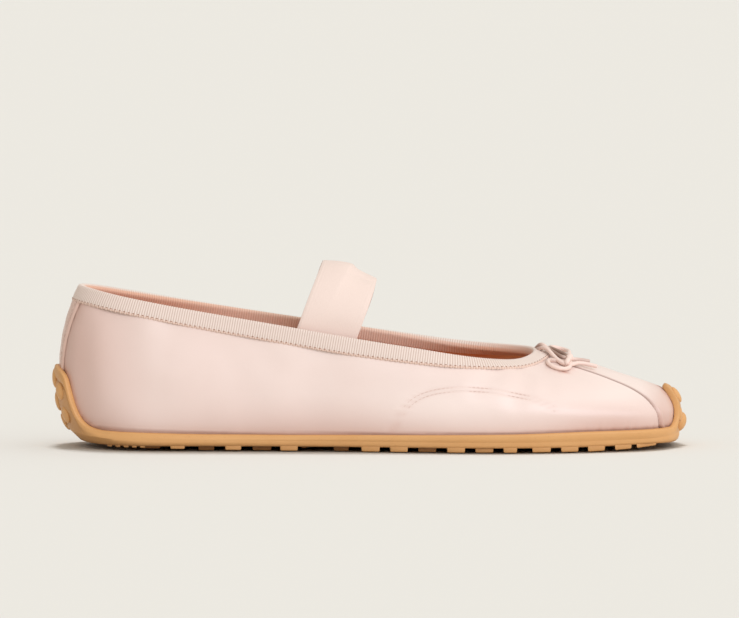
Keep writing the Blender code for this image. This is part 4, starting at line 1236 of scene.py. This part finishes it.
def makeSoleBody():
    rings, shades = [], []
    for along in placesAlong(sole["spans"]):
        (one, oneShade), (other, otherShade) = soleProfile(along), soleProfile(2 * halfLoop - along)
        top = other[0] + (one[0] - other[0]) * np.linspace(0, 1, 5)[1:-1, None]
        bottom = one[-1] + (other[-1] - one[-1]) * np.linspace(0, 1, 13)[1:-1, None]
        rings.append(np.vstack([top, one, bottom, other[::-1], top[:1]]))
        # painted shade on the filled top and the middle of the tread
        shades.append([0.4] * 3 + [*oneShade] + [0.35] * 11 + [*otherShade[::-1], 0.4])
    rings = np.array(rings)
    shades = {"shade": np.array(shades)}
    addGrid("gumSole", gumRubber, "gum_rubber", "sole", rings, rings[..., :2], shades, 60, weld=2e-6)


def springAt(x):
    # how far the tread has left the ground
    spring, heel = sole["toeSpring"], sole["heelRound"]
    front = np.maximum(x - spring["start"], 0)
    back = np.minimum(np.maximum(heel["start"] - x, 0), 0.95 * heel["radius"])
    behind = heel["radius"] - np.sqrt(heel["radius"] ** 2 - back**2)
    return spring["slope"] * front + spring["curve"] * front**2 + behind


def treadLine(innerSide):
    # the edge that the lugs stand along: x, y and the tread's height there
    loops = np.linspace(0, halfLoop, 240)
    rows = soleAt(loops)
    out = rows[:, 2] + (rows[:, 0] - rows[:, 2]) * 0.72 * cornerRound(rows[:, 0])
    edge = feather(2 * halfLoop - loops if innerSide else loops, out)
    return edge[:, 0], edge[:, 1], rows[:, 3]


treadLines = {side: treadLine(side) for side in (False, True)}


def bevelEdges(bm, corners, offset, **settings):
    # round the edges that run between the corners
    edges = dict.fromkeys(edge for vertex in corners for edge in vertex.link_edges)
    edges = [edge for edge in edges if all(end in corners for end in edge.verts)]
    bmesh.ops.bevel(bm, geom=edges, offset=offset * mm, segments=3, profile=0.5, affect="EDGES",
                    material=-1, **settings)


def addLug(bm, middle, length, innerSide, reach, inset, lift, rounding, level=False):
    # lift is how far the foot of the block is off the ground, at its outer edge or all over
    shadeLayer = bm.verts.layers.float["shade"]
    edgeX, edgeY, levels = treadLines[innerSide]
    inwards = -1 if innerSide else 1
    block = bmesh.ops.create_cube(bm, size=1)["verts"]
    for vertex in block:
        x = middle + vertex.co.x * length
        outward, low = vertex.co.y * inwards < 0, vertex.co.z < 0
        inside = inset + (0.2 if low else 0.0) if outward else inset + reach
        y = np.interp(x, edgeX, edgeY) + inwards * inside
        z = np.interp(x, edgeX, levels) + (0.7 if outward else 1.0)
        if low:
            z = springAt(x) + (lift if outward or level else 0.0)
            x += min(0.25, 0.2 * length) * (-1 if vertex.co.x > 0 else 1)
        vertex.co = Vector((x, y, z)) * mm
        # painted shade, deeper on lugs set further in
        vertex[shadeLayer] = min(0.75, 0.1 + 0.22 * inset)
    bevelEdges(bm, block, rounding, clamp_overlap=True)


def makeLugs():
    bm = bmesh.new()
    bm.verts.layers.float.new("shade")
    comb = sole["comb"]
    for innerSide in (False, True):
        for x, length, inset, lift, reach in sole["lugs"]:
            addLug(bm, x, length, innerSide, reach, inset, lift, sole["lugRound"])
        for i in range(comb["count"]):
            addLug(bm, comb["first"] + i * comb["pitch"], comb["length"], innerSide, comb["reach"],
                   comb["inset"], comb["lift"], comb["round"], True)
    depth = sole["padDepth"]
    for x, y, radius in sole["pads"]:
        disc = bmesh.ops.create_cone(
            bm, cap_ends=True, segments=48, radius1=radius * mm, radius2=(radius + 0.4) * mm,
            depth=depth * mm, matrix=Matrix.Translation((x * mm, y * mm, depth / 2 * mm)),
        )["verts"]
        bevelEdges(bm, [vertex for vertex in disc if vertex.co.z < 0.5 * mm], sole["padRound"])
    bmesh.ops.recalc_face_normals(bm, faces=bm.faces)
    addPiece("treadLugs", bm, gumRubber, ["sole"], 40)


def makeStuds():
    bm = bmesh.new()
    pitch, depth, widest = sole["studPitch"], sole["studDepth"], sole["studWidest"]
    size = Matrix.Diagonal((sole["studRadius"], sole["studRadius"], depth * 1.6, 1))
    for column, x in enumerate(np.arange(-96, 108, pitch)):
        low, high = (np.interp(x, *treadLines[side][:2]) for side in (False, True))
        besideLug = any(abs(x - row[0]) < row[1] / 2 + sole["studByLug"] for row in sole["lugs"])
        level = np.interp(x, treadLines[False][0], treadLines[False][2])
        for y in np.arange(-widest + (column % 2) * pitch / 2, widest, pitch):
            clear = min(y - low, high - y) > sole["studEdge"][besideLug or x > sole["studWaist"]]
            onPad = any(math.hypot(x - padX, y - padY) < radius + sole["studByPad"]
                        for padX, padY, radius in sole["pads"])
            if clear and not onPad:
                place = Matrix.Translation(Vector((x, y, level + 0.6 * depth)) * mm) @ size
                bmesh.ops.create_uvsphere(bm, u_segments=10, v_segments=6, radius=mm, matrix=place)
    addPiece("treadStuds", bm, gumRubber, ["sole"])


def makePebbles():
    bm = bmesh.new()
    sunk = 0.25
    for start, pebbles in ((0.0, sole["heelPebbles"]), (halfLoop, sole["toePebbles"])):
        for shift, z, radius, proud in pebbles:
            height = heightWhere(start + shift, z)
            normal = Vector(wallNormal(start + shift, height))
            centre = Vector(offWall(start + shift, height, sole["shell"] - sunk))
            turn = Vector((0, 0, 1)).rotation_difference(normal).to_matrix().to_4x4()
            size = Matrix.Diagonal((radius, radius, proud + sunk, 1))
            place = Matrix.Translation(centre * mm) @ turn @ size
            bmesh.ops.create_uvsphere(bm, u_segments=32, v_segments=16, radius=mm, matrix=place)
    addPiece("tabPebbles", bm, gumRubber, ["sole"])


makeSoleBody()
makeLugs()
makeStuds()
makePebbles()
print("sole made")

# stitching on the satin
seamStitch = {"pitch": 1.7, "length": 1.4, "width": 0.24, "lift": 0.02}
seamLines = []
for seamLine, outward in arcLines():
    spots = np.array([onFace(spot)[0] for spot in seamLine])
    seamLines.append((spots - upper["arcDepth"] * outward, outward))
addStitches("sideStitches", seamLines, seamStitch, blushThread)
print("stitches made")
